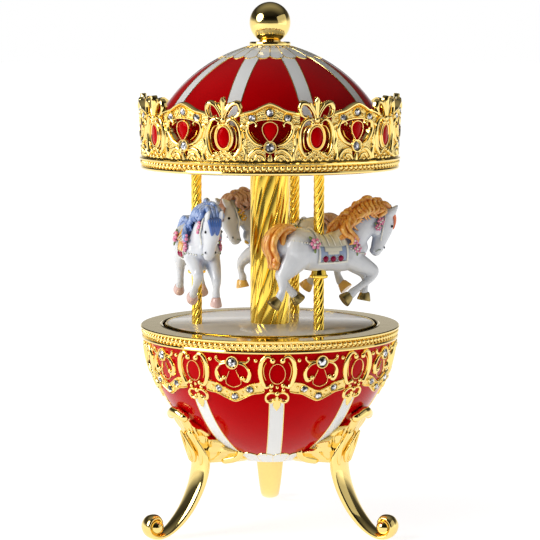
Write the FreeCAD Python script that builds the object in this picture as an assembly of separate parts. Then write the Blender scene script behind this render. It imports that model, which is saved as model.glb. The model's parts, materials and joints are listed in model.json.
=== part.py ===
import FreeCAD, Part
import math
import os

# Wind-up carousel music box, in millimetres. Z is up, the carousel turns about the Z axis and z = 0 is the
# plane that the three feet stand on. -Y is the front. Horses travel anticlockwise seen from above.

# --- Overall sizes -------------------------------------------------------------------------------------------
RIM_R = 40.0            # outer radius of the beaded rims on the bowl and on the canopy
BOWL_R = 38.2           # bowl's outer radius where it meets its rim
BOWL_TOP = 59.4
BOWL_DEPTH = 40.0       # depth of the full egg curve below BOWL_TOP
BOWL_WALL = 1.4
BOWL_FOOT_Z = 22.4      # the egg is cut flat here, around the key well
RIM_TOP = 63.6
RIM_BORE = 33.2         # the platform turns inside this
PLATFORM_TOP = 64.0     # stands a little proud of the rim
CEILING_Z = 112.0       # underside of the canopy's ceiling plate
CANOPY_RIM_LOW, CANOPY_RIM_TOP = 111.6, 115.4
CROWN_TOP = 134.7
BALL_R, BALL_Z = 6.25, 156.0

# --- Legs ----------------------------------------------------------------------------------------------------
LEG_ANGLES = {"leg_left": -150.0, "leg_right": -30.0, "leg_back": 90.0}
FOOT_R, FOOT_REACH, FOOT_Z = 3.6, 40.4, 3.3
LEAF_THICK = 1.8

# --- Carousel ------------------------------------------------------------------------------------------------
POLE_R, POLE_CIRCLE = 1.6, 22.8
TENON_R = 1.0
COLUMN_R, COLUMN_BORE = 6.1, 3.0
TIE_R = 1.5
PLATFORM_R = 32.0
SECTORS = 9             # enamel stripes and crown motifs
# mane colour: (angle of the pole, heading of the horse), both anticlockwise from +X
HORSES = {"blue": (-170.0, -78.0), "gold": (-50.0, 28.0), "brown": (70.0, 152.0)}

# --- Movement ------------------------------------------------------------------------------------------------
BED_LOW, BED_TOP, BED_R = 39.0, 41.0, 28.8
BOSS_ANGLES, BOSS_CIRCLE = (30.0, 150.0, 270.0), 25.4
ARBOR_R = 2.0
RUN_GAP = 0.05          # radial clearance of every shaft in its bearing
BARREL_R, BARREL_LOW, BARREL_TOP = 11.0, 42.0, 49.5
CROWN_WHEEL_TEETH, CROWN_WHEEL_R = 40, 13.0
PINION_TEETH = 8
DRIVE_MODULE = 2 * CROWN_WHEEL_R / CROWN_WHEEL_TEETH
CYLINDER_Z = 54.0       # height of the pinned cylinder's axis, which lies along +X
CYLINDER_R, CYLINDER_X = 5.0, (19.2, 28.2)
CYLINDER_ARBOR_R = 0.8
WORM_WHEEL_TEETH, WORM_MODULE = 24, 0.4
WORM_PITCH_R = 1.5
WORM_X = 17.0
WORM_Y = WORM_MODULE * WORM_WHEEL_TEETH / 2 + WORM_PITCH_R
SPINDLE_R = 2.5
NOTES = 18

V = FreeCAD.Vector
UP = V(0, 0, 1)


# --- Shape helpers -------------------------------------------------------------------------------------------
def polar(radius, angle, z=0.0):
    """Point at a radius and an angle in degrees from +X."""
    return V(radius * math.cos(math.radians(angle)), radius * math.sin(math.radians(angle)), z)


def rod(radius, low, high, x=0.0, y=0.0):
    """Upright cylinder from z = low to z = high."""
    return Part.makeCylinder(radius, high - low, V(x, y, low))


def tube(outer, inner, low, high, x=0.0, y=0.0):
    """Upright ring or tube."""
    return rod(outer, low, high, x, y).cut(rod(inner, low - 1, high + 1, x, y))


def lathe(outline):
    """Solid turned about the Z axis from a closed outline of (radius, height) corners."""
    corners = [V(r, 0, z) for r, z in outline]
    return Part.Face(Part.makePolygon(corners + corners[:1])).revolve(V(), UP, 360)


def block(x0, x1, y0, y1, z0, z1):
    return Part.makeBox(x1 - x0, y1 - y0, z1 - z0, V(x0, y0, z0))


def turned(shape, angle):
    """Copy of a shape, turned about the Z axis."""
    copy = shape.copy()
    copy.rotate(V(), UP, angle)
    return copy


def ring_of(shape, count, first=0.0):
    """Copies of a shape spaced evenly about the Z axis."""
    return [turned(shape, first + 360.0 * k / count) for k in range(count)]


def fused(shapes):
    return shapes[0].multiFuse(shapes[1:]).removeSplitter() if len(shapes) > 1 else shapes[0]


def save(name, *shapes):
    """Writes one node. Several shapes stay separate solids in it."""
    solids = [s for shape in shapes for s in shape.Solids]
    whole = solids[0] if len(solids) == 1 else Part.makeCompound(solids)
    if not whole.isValid():
        raise ValueError(f"{name} is not a valid shape")
    whole.exportStep(f"parts/{name}.step")
    print(f"{name:20s} {len(solids):3d} solids {whole.Volume:10.2f} mm3")


# --- Bowl ----------------------------------------------------------------------------------------------------
def egg_radius(z, radius, depth):
    """Radius at height z of an egg curve that hangs below BOWL_TOP."""
    share = max(0.0, min(1.0, (BOWL_TOP - z) / depth))
    return radius * (1 - share**1.8) ** 0.59


def egg(grown=0.0, low=BOWL_FOOT_Z):
    """Solid egg below BOWL_TOP, grown outward by a thickness, and cut flat at z = low."""
    radius, depth = BOWL_R + grown, BOWL_DEPTH + grown
    steps = 10
    heights = [low + (BOWL_TOP - low) * (k / steps) ** 1.5 for k in range(steps + 1)]
    side = Part.BSplineCurve()
    side.interpolate([V(egg_radius(z, radius, depth), 0, z) for z in heights])
    edges = [
        Part.makeLine(V(0, 0, low), V(egg_radius(low, radius, depth), 0, low)),
        side.toShape(),
        Part.makeLine(V(radius, 0, BOWL_TOP), V(0, 0, BOWL_TOP)),
        Part.makeLine(V(0, 0, BOWL_TOP), V(0, 0, low)),
    ]
    return Part.Face(Part.Wire(edges)).revolve(V(), UP, 360)


KEY_WELL_R = 10.2
KEY_WELL_TOP = 31.0
WELL_WALL = 0.6


def leg_screw_axis(angle):
    """Start point inside the bowl and direction of the screw that holds a leg."""
    direction = polar(0.72, angle, -0.70)
    direction.normalize()
    return polar(20.4, angle, 35.2), direction


def leg_screw(angle):
    start, direction = leg_screw_axis(angle)
    head = Part.makeCylinder(1.9, 1.2, start, direction)
    shank = Part.makeCylinder(1.0, 7.5, start, direction)
    slot = block(-3, 3, -0.25, 0.25, -1, 0.4)
    slot.Placement = FreeCAD.Placement(start, FreeCAD.Rotation(UP, direction))
    return head.fuse(shank).cut(slot)


def bowl_shell():
    outside = egg()
    shell = outside.cut(egg(-BOWL_WALL, low=BOWL_FOOT_Z - 0.001))
    shell = shell.cut(rod(KEY_WELL_R + WELL_WALL, 0, BOWL_FOOT_Z + 5))
    bosses = [rod(2.4, 28, BED_LOW, p.x, p.y).common(outside) for p in
              (polar(BOSS_CIRCLE, a) for a in BOSS_ANGLES)]
    pads = []
    for angle in LEG_ANGLES.values():
        start, direction = leg_screw_axis(angle)
        seat = Part.makeCylinder(3.2, 5, start + direction * 1.2, direction)
        pads.append(seat.common(outside))
    shell = fused([shell] + bosses + pads)
    for angle in BOSS_ANGLES:
        p = polar(BOSS_CIRCLE, angle)
        shell = shell.cut(rod(0.9, BED_LOW - 4, BED_LOW + 1, p.x, p.y))
    for angle in LEG_ANGLES.values():
        start, direction = leg_screw_axis(angle)
        shell = shell.cut(Part.makeCylinder(1.0, 9, start, direction))
    return shell


def key_well():
    """Drawn cup that the winding key sits in, up inside the bowl's foot."""
    outer = KEY_WELL_R + WELL_WALL
    cup = lathe([(KEY_WELL_R, BOWL_FOOT_Z), (outer, BOWL_FOOT_Z), (outer, KEY_WELL_TOP + 0.8),
                 (ARBOR_R + 0.4, KEY_WELL_TOP + 0.8), (ARBOR_R + 0.4, KEY_WELL_TOP),
                 (KEY_WELL_R, KEY_WELL_TOP)])
    return cup


def bowl_rim():
    """Ring with a flat top, a groove for its row of beads and a spigot inside the bowl's mouth."""
    low = BOWL_TOP
    spigot = BOWL_R - BOWL_WALL - 0.15
    return lathe([(RIM_BORE, low), (spigot - 1.5, low), (spigot - 1.5, low - 1.5), (spigot, low - 1.5),
                  (spigot, low), (RIM_R - 0.9, low), (RIM_R - 0.5, low + 0.5), (RIM_R - 0.9, low + 0.9),
                  (RIM_R - 0.9, low + 2.6), (RIM_R, low + 3.0), (RIM_R, RIM_TOP - 0.4),
                  (RIM_R - 0.4, RIM_TOP), (RIM_BORE, RIM_TOP)])


def leg(angle):
    """Cast scroll leg: a leaf on the bowl, a curl at its top, an S-shaped stem and a ball foot."""
    # centre radius, centre height, thickness in the leg's plane, width across it
    stations = [(32.4, 38.3, 3.0, 6.5), (29.4, 33.4, 4.6, 12.0), (26.6, 27.8, 5.0, 12.5), (26.0, 22.0, 4.6, 9.2),
                (27.0, 17.0, 4.4, 7.7), (29.4, 11.0, 4.2, 6.8), (33.2, 5.6, 3.8, 6.4), (37.6, 2.4, 3.2, 5.6)]
    wires = []
    for k, (r, z, thick, width) in enumerate(stations):
        before, after = stations[max(k - 1, 0)], stations[min(k + 1, len(stations) - 1)]
        along = V(after[0] - before[0], 0, after[1] - before[1]).normalize()
        across = V(0, 1, 0)
        normal = along.cross(across)
        centre = V(r, 0, z)
        oval = Part.Ellipse(centre + across * (width / 2), centre + normal * (thick / 2), centre)
        wires.append(Part.Wire(oval.toShape()))
    stem = Part.makeLoft(wires, True, False)
    foot = Part.makeSphere(FOOT_R, V(FOOT_REACH, 0, FOOT_Z))
    curl = Part.makeCylinder(2.0, 6.0, V(33.2, -3.0, 37.6), V(0, 1, 0))
    centre, normal = V(25.4, 0, 31.6), V(0.72, 0, -0.70)
    outline = Part.Ellipse(centre + V(0.70, 0, 0.72) * 10.5, centre + V(0, 8.4, 0), centre)
    prism = Part.Face(Part.Wire(outline.toShape())).extrude(normal.normalize() * 12)
    prism.translate(normal * -6)
    leaf = prism.common(egg(LEAF_THICK).cut(egg()))
    shape = fused([stem, foot, curl, leaf]).cut(egg()).cut(block(-60, 60, -60, 60, -20, 0))
    shape = turned(max(shape.Solids, key=lambda s: s.Volume), angle)
    return shape.cut(leg_screw(angle))


def gem_on_bowl(angle, z, radius, height):
    """Round stone standing on the bowl's outside."""
    r = egg_radius(z, BOWL_R, BOWL_DEPTH)
    slope = (egg_radius(z + 0.5, BOWL_R, BOWL_DEPTH) - egg_radius(z - 0.5, BOWL_R, BOWL_DEPTH))
    normal = V(1, 0, -slope).normalize()
    stone = Part.makeCone(radius, radius * 0.6, height + 0.6, V(r, 0, z) - normal * 0.6, normal)
    return turned(stone.cut(egg()), angle)


GEM_R, LARGE_GEM_R = 1.35, 1.6
BOWL_TURN = 3.3         # the bowl's motifs are turned this far from the front


def bowl_crystals():
    sector = 360.0 / SECTORS
    stones = []
    for k in range(SECTORS):
        middle = -90.0 + BOWL_TURN + sector * (k + 0.5)
        stones.append(gem_on_bowl(middle, 57.0, LARGE_GEM_R, 0.9))
        stones.append(gem_on_bowl(middle, 46.6, GEM_R, 0.8))
        stones += [gem_on_bowl(middle + side * 7.2, 48.8, GEM_R, 0.8) for side in (-1, 1)]
    return stones


# --- Carousel ------------------------------------------------------------------------------------------------
def pole_spots():
    return [polar(POLE_CIRCLE, angle) for angle, _ in HORSES.values()]


def platform_base():
    """Brass plate under the enamelled disc."""
    plate = tube(PLATFORM_R + 0.4, SPINDLE_R, 60.4, 61.4)
    for p in pole_spots():
        plate = plate.cut(rod(TENON_R, 60, 62, p.x, p.y))
    return plate


def platform_disc():
    disc = lathe([(SPINDLE_R, 61.4), (PLATFORM_R, 61.4), (PLATFORM_R, PLATFORM_TOP - 0.3),
                  (PLATFORM_R - 0.3, PLATFORM_TOP), (SPINDLE_R, PLATFORM_TOP)])
    for p in pole_spots():
        disc = disc.cut(rod(TENON_R, 61, PLATFORM_TOP + 1, p.x, p.y))
    return disc


def pole(spot):
    """Round bar with a thinner tenon at each end."""
    return fused([rod(POLE_R, PLATFORM_TOP, CEILING_Z, spot.x, spot.y),
                  rod(TENON_R, 60.4, PLATFORM_TOP + 1, spot.x, spot.y),
                  rod(TENON_R, CEILING_Z - 1, CEILING_Z + 3.4, spot.x, spot.y)])


def pole_nut(spot):
    nut = Part.Face(Part.makePolygon([polar(2.1, 60 * k, CEILING_Z + 1.6) for k in range(7)])).extrude(UP * 1.6)
    nut.translate(spot)
    return nut.cut(rod(TENON_R, CEILING_Z, CEILING_Z + 5, spot.x, spot.y))


def limb(stations):
    """Smooth bar through (x, y, z, radius) stations."""
    spots = [V(x, y, z) for x, y, z, _ in stations]
    wires = []
    for k, (spot, station) in enumerate(zip(spots, stations)):
        along = spots[min(k + 1, len(spots) - 1)] - spots[max(k - 1, 0)]
        wires.append(Part.Wire(Part.makeCircle(station[3], spot, along)))
    return Part.makeLoft(wires, True, False)


def horse():
    """Jumping horse facing +X with its pole on the Z axis; its right side, at -Y, faces outward."""
    near, far = -2.7, 2.7
    trunk = limb([(-12.4, 0, 89.0, 2.5), (-10.8, 0, 88.6, 5.0), (-6.8, 0, 88.2, 6.1), (0, 0, 86.6, 5.4),
                  (7.0, 0, 86.8, 5.8), (11.5, 0, 88.0, 4.6), (13.2, 0, 88.6, 2.4)])
    limbs = [
        [(7.0, 0, 88.0, 4.6), (11.5, 0, 92.0, 4.4), (16.4, -0.2, 96.2, 3.5), (21.0, -0.3, 98.6, 2.3)],
        [(22.2, -0.3, 99.4, 1.8), (21.8, -0.4, 96.0, 3.1), (21.2, -0.5, 91.4, 2.4), (19.8, -0.6, 87.4, 1.7)],
        [(5.5, 0, 92.0, 1.6), (9.0, 0, 97.2, 1.9), (14.4, 0, 100.6, 2.0), (21.0, 0, 101.4, 1.2)],
        [(-9.6, 0, 91.8, 1.8), (-13.4, 0, 93.2, 2.0), (-15.8, 0, 89.0, 2.2), (-14.6, 0, 83.0, 1.5)],
        [(9.0, near, 86.0, 2.6), (13.6, near, 83.2, 2.2), (16.4, near, 81.0, 1.7), (12.6, near, 76.4, 1.2),
         (9.0, near, 73.4, 1.6)],
        [(9.5, far, 86.0, 2.6), (14.6, far, 82.6, 2.1), (17.4, far, 79.6, 1.6), (17.8, far, 76.0, 1.2),
         (17.4, far, 73.2, 1.6)],
        [(-8.0, near, 87.0, 3.8), (-11.6, near, 82.8, 2.8), (-14.0, near, 79.6, 1.6), (-14.4, near, 76.6, 1.2),
         (-15.6, near, 73.2, 1.6)],
        [(-7.0, far, 87.0, 3.7), (-9.4, far, 82.6, 2.6), (-10.4, far, 79.4, 1.6), (-8.4, far, 76.4, 1.2),
         (-6.8, far, 73.4, 1.6)],
    ]
    return fused([trunk] + [limb(stations) for stations in limbs]).cut(rod(POLE_R, 60, 120))


COLLAR_R, COLLAR_LOW, COLLAR_TOP = 2.7, 79.6, 81.4


def placed_on_pole(shape, mane):
    angle, heading = HORSES[mane]
    copy = turned(shape, heading)
    copy.translate(polar(POLE_CIRCLE, angle))
    return copy


def centre_column():
    return tube(COLUMN_R, COLUMN_BORE, PLATFORM_TOP, CEILING_Z)


def ceiling_plate():
    plate = tube(37.4, TIE_R, CEILING_Z, CEILING_Z + 1.6)
    for p in pole_spots():
        plate = plate.cut(rod(TENON_R, CEILING_Z - 1, CEILING_Z + 3, p.x, p.y))
    return plate


def canopy_rim():
    low, top = CANOPY_RIM_LOW, CANOPY_RIM_TOP
    return lathe([(36.4, low), (RIM_R - 2.0, low), (RIM_R - 0.9, low + 0.9), (RIM_R - 0.9, top - 1.3),
                  (RIM_R, top - 0.9), (RIM_R, top - 0.3), (RIM_R - 0.3, top), (37.4, top),
                  (37.4, CEILING_Z), (36.4, CEILING_Z)])


CROWN_IN, CROWN_OUT = 38.3, 39.2


def radial_prism(outline, angle):
    """Prism along the radius from a closed (across, height) outline, through one side of the crown."""
    corners = [V(30, u, z) for u, z in outline]
    prism = Part.Face(Part.makePolygon(corners + corners[:1])).extrude(V(20, 0, 0))
    return turned(prism, angle)


def radial_oval(across, z, half_width, half_height, angle):
    centre = V(30, across, z)
    tall = Part.Ellipse(centre + V(0, 0, half_height), centre + V(0, half_width, 0), centre)
    return turned(Part.Face(Part.Wire(tall.toShape())).extrude(V(20, 0, 0)), angle)


def crown_gallery():
    """Openwork band with a row of arches between flower tips."""
    band = tube(CROWN_OUT, CROWN_IN, CANOPY_RIM_TOP, CROWN_TOP)
    sector = 360.0 / SECTORS
    cutters = []
    for k in range(SECTORS):
        drop = -90.0 + sector * k
        oval = drop + sector / 2
        for side in (-1, 1):
            cutters.append(radial_prism([(0, 129.4), (side * 4.4, CROWN_TOP + 1), (-side * 1.2, CROWN_TOP + 1)],
                                        oval + side * 8.4))
            cutters.append(radial_oval(side * 3.5, 123.2, 1.2, 2.6, drop))
            cutters.append(radial_oval(side * 3.6, 123.0, 0.8, 3.0, oval))
        cutters.append(radial_prism([(-6, 132.2), (-6, CROWN_TOP + 1), (6, CROWN_TOP + 1), (6, 132.2)], drop))
    return band.cut(cutters)


CABOCHON_SKIN = (CROWN_OUT, 39.9)


def skin_on_crown(prism):
    """The part of a radial prism that stands on the crown's face."""
    return prism.common(tube(CABOCHON_SKIN[1], CABOCHON_SKIN[0], CANOPY_RIM_TOP, CROWN_TOP))


def crown_enamels():
    sector = 360.0 / SECTORS
    drops = []
    for k in range(SECTORS):
        angle = -90.0 + sector * k
        drops.append(skin_on_crown(radial_oval(0, 123.0, 2.1, 3.1, angle + sector / 2)))
        head = radial_oval(0, 125.2, 2.2, 2.21, angle)
        tail = radial_prism([(-2.0, 124.2), (2.0, 124.2), (0, 120.2)], angle)
        drops.append(skin_on_crown(head.fuse(tail).removeSplitter()))
    return drops


def crown_crystals():
    sector = 360.0 / SECTORS
    stones = []
    for k in range(SECTORS):
        angle = -90.0 + sector * k
        stones.append(skin_on_crown(radial_oval(0, 118.2, 1.6, 1.61, angle)))
        stones.append(skin_on_crown(radial_oval(0, 129.9, 1.2, 1.21, angle)))
        stones += [skin_on_crown(radial_oval(0, 128.5, 1.2, 1.21, angle + side * 7.4)) for side in (-1, 1)]
    return stones


# the dome's side is one arc whose centre lies across the axis, so that it comes to a low point
DOME_ARC_R, DOME_ARC_X, DOME_ARC_Z = 46.3, -5.8, 104.1
DOME_WALL = 1.2


def dome_arc(radius, low):
    """Arc edge from height low up to the axis, and its two ends."""
    def at(angle):
        return V(DOME_ARC_X + radius * math.cos(angle), 0, DOME_ARC_Z + radius * math.sin(angle))

    start = math.asin((low - DOME_ARC_Z) / radius)
    end = math.acos(-DOME_ARC_X / radius)
    return Part.Arc(at(start), at((start + end) / 2), at(end)).toShape(), at(start), at(end)


def canopy_dome():
    outer, outer_foot, outer_tip = dome_arc(DOME_ARC_R, CANOPY_RIM_TOP)
    inner, inner_foot, inner_tip = dome_arc(DOME_ARC_R - DOME_WALL, CANOPY_RIM_TOP)
    outline = [outer, Part.makeLine(outer_tip, inner_tip), inner, Part.makeLine(inner_foot, outer_foot)]
    shell = Part.Face(Part.Wire(Part.__sortEdges__(outline))).revolve(V(), UP, 360)
    return shell.cut(rod(TIE_R, 140, 155)).cut(rod(40, CANOPY_RIM_TOP - 1, CANOPY_RIM_TOP)).common(
        rod(CROWN_IN - 0.1, CANOPY_RIM_TOP, 155))


WASHER_LOW, WASHER_TOP, WASHER_R = 148.5, 150.2, 6.3


def finial_washer():
    washer = lathe([(TIE_R, WASHER_LOW), (WASHER_R - 0.2, WASHER_LOW), (WASHER_R, WASHER_LOW + 0.4),
                    (WASHER_R, WASHER_TOP - 0.4), (WASHER_R - 0.4, WASHER_TOP), (TIE_R, WASHER_TOP)])
    outer, outer_foot, outer_tip = dome_arc(DOME_ARC_R, CANOPY_RIM_TOP)
    base = V(0, 0, outer_foot.z)
    below = Part.Face(Part.Wire(Part.__sortEdges__([
        outer, Part.makeLine(outer_tip, base), Part.makeLine(base, outer_foot)]))).revolve(V(), UP, 360)
    return washer.cut(below)


def finial_ball():
    ball = Part.makeSphere(BALL_R, V(0, 0, BALL_Z))
    neck = lathe([(TIE_R, WASHER_TOP), (3.1, WASHER_TOP), (2.7, WASHER_TOP + 0.6), (2.6, BALL_Z - BALL_R + 1),
                  (TIE_R, BALL_Z - BALL_R + 1)])
    ball = ball.cut(rod(BALL_R, BALL_Z - 2 * BALL_R, WASHER_TOP)).cut(rod(TIE_R, 145, 154))
    return ball.fuse(neck).removeSplitter()


# --- Movement ------------------------------------------------------------------------------------------------
PILLAR_ANGLES, PILLAR_CIRCLE = (120.0, 240.0), 24.0
BRIDGE_LOW, BRIDGE_TOP = 55.8, 57.2


def bedplate():
    plate = rod(BED_R, BED_LOW, BED_TOP).cut(rod(3.4, 30, 50))
    for angle in BOSS_ANGLES:
        p = polar(BOSS_CIRCLE, angle)
        plate = plate.cut(rod(1.1, 30, 50, p.x, p.y))
    return plate


def pan_screw(x, y, seat, length, radius=0.9, head_r=1.7):
    """Slotted screw standing on z = seat, with its shank below."""
    head = rod(head_r, seat, seat + 1.0, x, y)
    slot = block(x - 2, x + 2, y - 0.2, y + 0.2, seat + 0.6, seat + 2)
    return head.fuse(rod(radius, seat - length, seat, x, y)).cut(slot)


def winding_arbor():
    return fused([rod(ARBOR_R, 24.0, 50.2), rod(3.1, 43.4, 48.8)])


def winding_key():
    """Butterfly key whose hub sleeves the arbor."""
    hub = tube(3.0, ARBOR_R, 24.0, 30.2)
    cap = rod(3.0, 22.6, 24.0)
    wing = block(2.4, 8.0, -0.8, 0.8, 22.6, 29.0)
    corners = [e for e in wing.Edges if e.Length < 1.7 and e.BoundBox.XMin > 7.9]
    wing = wing.makeFillet(1.6, corners)
    return fused([hub, cap, wing, turned(wing, 180)])


def clutch_spring():
    """Closely wound one-way spring round the arbor, under the bedplate."""
    turns, pitch, wire = 6, 0.68, 0.35
    radius = ARBOR_R + RUN_GAP + wire
    coils = [Part.makeTorus(radius, wire, V(0, 0, 34.0 + pitch * k), UP) for k in range(turns)]
    tail = Part.makeCylinder(wire, 4.0, V(radius, 0, 34.0 + pitch * (turns - 1)), V(0, 0, 1))
    return coils, tail.cut(rod(60, BED_LOW, 60))


def barrel_drum():
    wall = 0.8
    return lathe([(ARBOR_R + RUN_GAP, BARREL_LOW), (BARREL_R, BARREL_LOW), (BARREL_R, BARREL_TOP),
                  (BARREL_R - wall, BARREL_TOP), (BARREL_R - wall, BARREL_LOW + wall),
                  (ARBOR_R + RUN_GAP, BARREL_LOW + wall)])


def barrel_cover():
    """Cover with a ring of upright teeth that drives the cylinder's pinion."""
    plate_top = BARREL_TOP + 1.1
    pitch_z = CYLINDER_Z - DRIVE_MODULE * PINION_TEETH / 2
    cover = lathe([(ARBOR_R + RUN_GAP, BARREL_TOP), (14.0, BARREL_TOP), (14.0, plate_top), (0, plate_top),
                   (0, 50.3), (ARBOR_R + RUN_GAP, 50.3)])
    pitch = math.pi * DRIVE_MODULE
    base, mid, tip = 0.27 * pitch, 0.18 * pitch, 0.10 * pitch
    inner, outer = CROWN_WHEEL_R - 0.8, CROWN_WHEEL_R + 0.8
    outline = [(-base, plate_top - 0.2), (base, plate_top - 0.2), (mid, pitch_z), (tip, pitch_z + 0.5),
               (-tip, pitch_z + 0.5), (-mid, pitch_z)]
    corners = [V(inner, u, z) for u, z in outline]
    tooth = Part.Face(Part.makePolygon(corners + corners[:1])).extrude(V(outer - inner, 0, 0))
    step = 360.0 / CROWN_WHEEL_TEETH
    return fused([cover] + ring_of(tooth, CROWN_WHEEL_TEETH, step / 2))


def mainspring():
    """Spiral strip between the arbor's hub and the barrel's wall."""
    thick, turns, first, last = 0.35, 5.5, 3.7, 9.8
    count = 64

    def spiral(offset):
        points = []
        for k in range(count + 1):
            share = k / count
            points.append(polar(first + (last - first) * share + offset, 360 * turns * share, 43.4))
        curve = Part.BSplineCurve()
        curve.interpolate(points)
        return curve.toShape(), points[0], points[-1]

    inner, inner_start, inner_end = spiral(0)
    outer, outer_start, outer_end = spiral(thick)
    strip = Part.Wire(Part.__sortEdges__([inner, Part.makeLine(inner_end, outer_end), outer,
                                          Part.makeLine(outer_start, inner_start)]))
    return Part.Face(strip).extrude(UP * 5.2)


def carousel_spindle():
    """Drive shaft from the barrel's cover up through the platform, with a flange that carries it."""
    return fused([rod(SPINDLE_R, BARREL_TOP + 1.1, 66.0), rod(7.0, 59.0, 60.4)])


def gear(teeth, module, x0, x1, addendum, dedendum, thickness, bore, first=0.0):
    """Spur gear along +X centred on the cylinder's axis. thickness is the tooth's share of the pitch."""
    pitch_r = module * teeth / 2
    root, tip = pitch_r - dedendum, pitch_r + addendum
    half = math.degrees(math.pi * module * thickness / 2 / pitch_r)
    corners = []
    for k in range(teeth):
        middle = first + 360.0 * k / teeth
        for radius, offset in ((root, -1.35), (pitch_r, -1.0), (tip, -0.55), (tip, 0.55), (pitch_r, 1.0),
                               (root, 1.35)):
            p = polar(radius, middle + offset * half)
            corners.append(V(x0, p.x, CYLINDER_Z + p.y))
    blank = Part.Face(Part.makePolygon(corners + corners[:1])).extrude(V(x1 - x0, 0, 0))
    return blank.cut(Part.makeCylinder(bore, 60, V(0, 0, CYLINDER_Z), V(1, 0, 0)))


def along_x(radius, x0, x1, y=0.0, z=CYLINDER_Z):
    return Part.makeCylinder(radius, x1 - x0, V(x0, y, z), V(1, 0, 0))


def music_cylinder():
    """Drum with a row of pins for each note."""
    x0, x1 = CYLINDER_X
    drum = along_x(CYLINDER_R, x0, x1).cut(along_x(CYLINDER_ARBOR_R, 0, 60))
    pins = []
    for note in range(NOTES):
        x = x0 + (x1 - x0) * (note + 0.5) / NOTES
        for beat in range(3):
            turn = math.radians(note * 97 + beat * 118)
            outward = V(0, math.cos(turn), math.sin(turn))
            foot = V(x, 0, CYLINDER_Z) + outward * (CYLINDER_R - 0.4)
            pins.append(Part.makeCylinder(0.12, 0.85, foot, outward))
    return fused([drum] + pins)


def comb():
    """Steel comb: one tine for each note, longer at the low end, on a screwed-down bar."""
    x0, x1 = CYLINDER_X
    step, slot = (x1 - x0) / NOTES, 0.16
    back, tips = -15.6, -5.65
    corners = [(x0, back), (x0, tips)]
    for note in range(1, NOTES):
        x, root = x0 + step * note, -11.4 + 2.6 * note / NOTES
        corners += [(x - slot / 2, tips), (x - slot / 2, root), (x + slot / 2, root), (x + slot / 2, tips)]
    corners += [(x1, tips), (x1, back), (x0, back)]
    low, thick = CYLINDER_Z - 0.3, 0.6
    plate = Part.Face(Part.makePolygon([V(x, y, low) for x, y in corners])).extrude(UP * thick)
    return plate.cut([rod(0.9, 50, 60, x, COMB_SCREW_Y) for x in COMB_SCREW_X])


COMB_SCREW_X, COMB_SCREW_Y = (20.8, 26.4), -13.6


def comb_base():
    x0, x1 = CYLINDER_X
    top = CYLINDER_Z - 0.3
    foot = block(x0, 24.0, -15.6, -11.8, BED_TOP, 46.0)
    seat = block(x0, x1, -15.6, -11.8, 45.5, top)
    return fused([foot, seat]).cut([rod(0.9, top - 4, top + 1, x, COMB_SCREW_Y) for x in COMB_SCREW_X])


def bracket(x0, x1, half_width, foot_x):
    """Upright bearing plate for the cylinder's arbor with a foot on the bedplate."""
    top = CYLINDER_Z + 2.4
    upright = block(x0, x1, -half_width, half_width, BED_TOP, top)
    foot = block(min(x0, foot_x), max(x1, foot_x), -half_width, half_width, BED_TOP, BED_TOP + 1.4)
    return fused([upright, foot]).cut(along_x(CYLINDER_ARBOR_R + RUN_GAP, x0 - 1, x1 + 1))


WORM_Z = (CYLINDER_Z - 3.1, CYLINDER_Z + 3.1)
FAN_Z = (43.2, 47.0)
GOVERNOR_SHAFT_R = 0.5


def governor_worm():
    """Upright shaft with a single-start worm."""
    lead = math.pi * WORM_MODULE
    root, tip = 1.05, 1.9
    core = fused([rod(root, WORM_Z[0] - 0.6, WORM_Z[1] + 0.6), rod(GOVERNOR_SHAFT_R, 41.6, 59.0)])
    turns = 4.5
    half_root, half_tip = 0.24 * lead, 0.10 * lead
    # the thread stands between two wheel teeth where the worm faces the wheel
    start = CYLINDER_Z - (turns / 2) * lead
    helix = Part.makeHelix(lead, lead * turns, root)
    profile = Part.Wire(Part.makePolygon([V(root - 0.15, 0, -half_root), V(root - 0.15, 0, half_root),
                                          V(tip, 0, half_tip), V(tip, 0, -half_tip),
                                          V(root - 0.15, 0, -half_root)]))
    thread = Part.Wire(helix).makePipeShell([profile], True, True)
    thread.translate(V(0, 0, start))
    worm = fused([core, thread])
    worm.rotate(V(), UP, WORM_PHASE)
    worm.translate(V(WORM_X, WORM_Y, 0))
    return worm


# a right-hand thread that starts on +X at CYLINDER_Z - 2.25 leads stands half a lead above the axis
# on its -Y side
WORM_PHASE = 0.0


def governor_fan():
    """Two-bladed air brake on the worm's shaft."""
    hub = tube(1.2, GOVERNOR_SHAFT_R, FAN_Z[0], FAN_Z[1])
    blade = block(1.0, 3.6, -0.2, 0.2, FAN_Z[0] + 0.3, FAN_Z[1] - 0.3)
    fan = fused([hub, blade, turned(blade, 180)])
    fan.translate(V(WORM_X, WORM_Y, 0))
    return fan


def governor_bracket():
    x0, x1 = WORM_X - 1.5, WORM_X + 1.5
    post = block(x0, x1, 11.6, 13.6, BED_TOP, 59.2)
    upper = block(x0, x1, 5.4, 13.6, 58.0, 59.2)
    hole = rod(GOVERNOR_SHAFT_R + RUN_GAP, 57, 60, WORM_X, WORM_Y)
    return fused([post, upper]).cut(hole)


def governor_jewel():
    """Lower pivot bearing of the governor, pressed on the bedplate."""
    return tube(1.3, GOVERNOR_SHAFT_R + RUN_GAP, BED_TOP, 42.4, WORM_X, WORM_Y)


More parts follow.
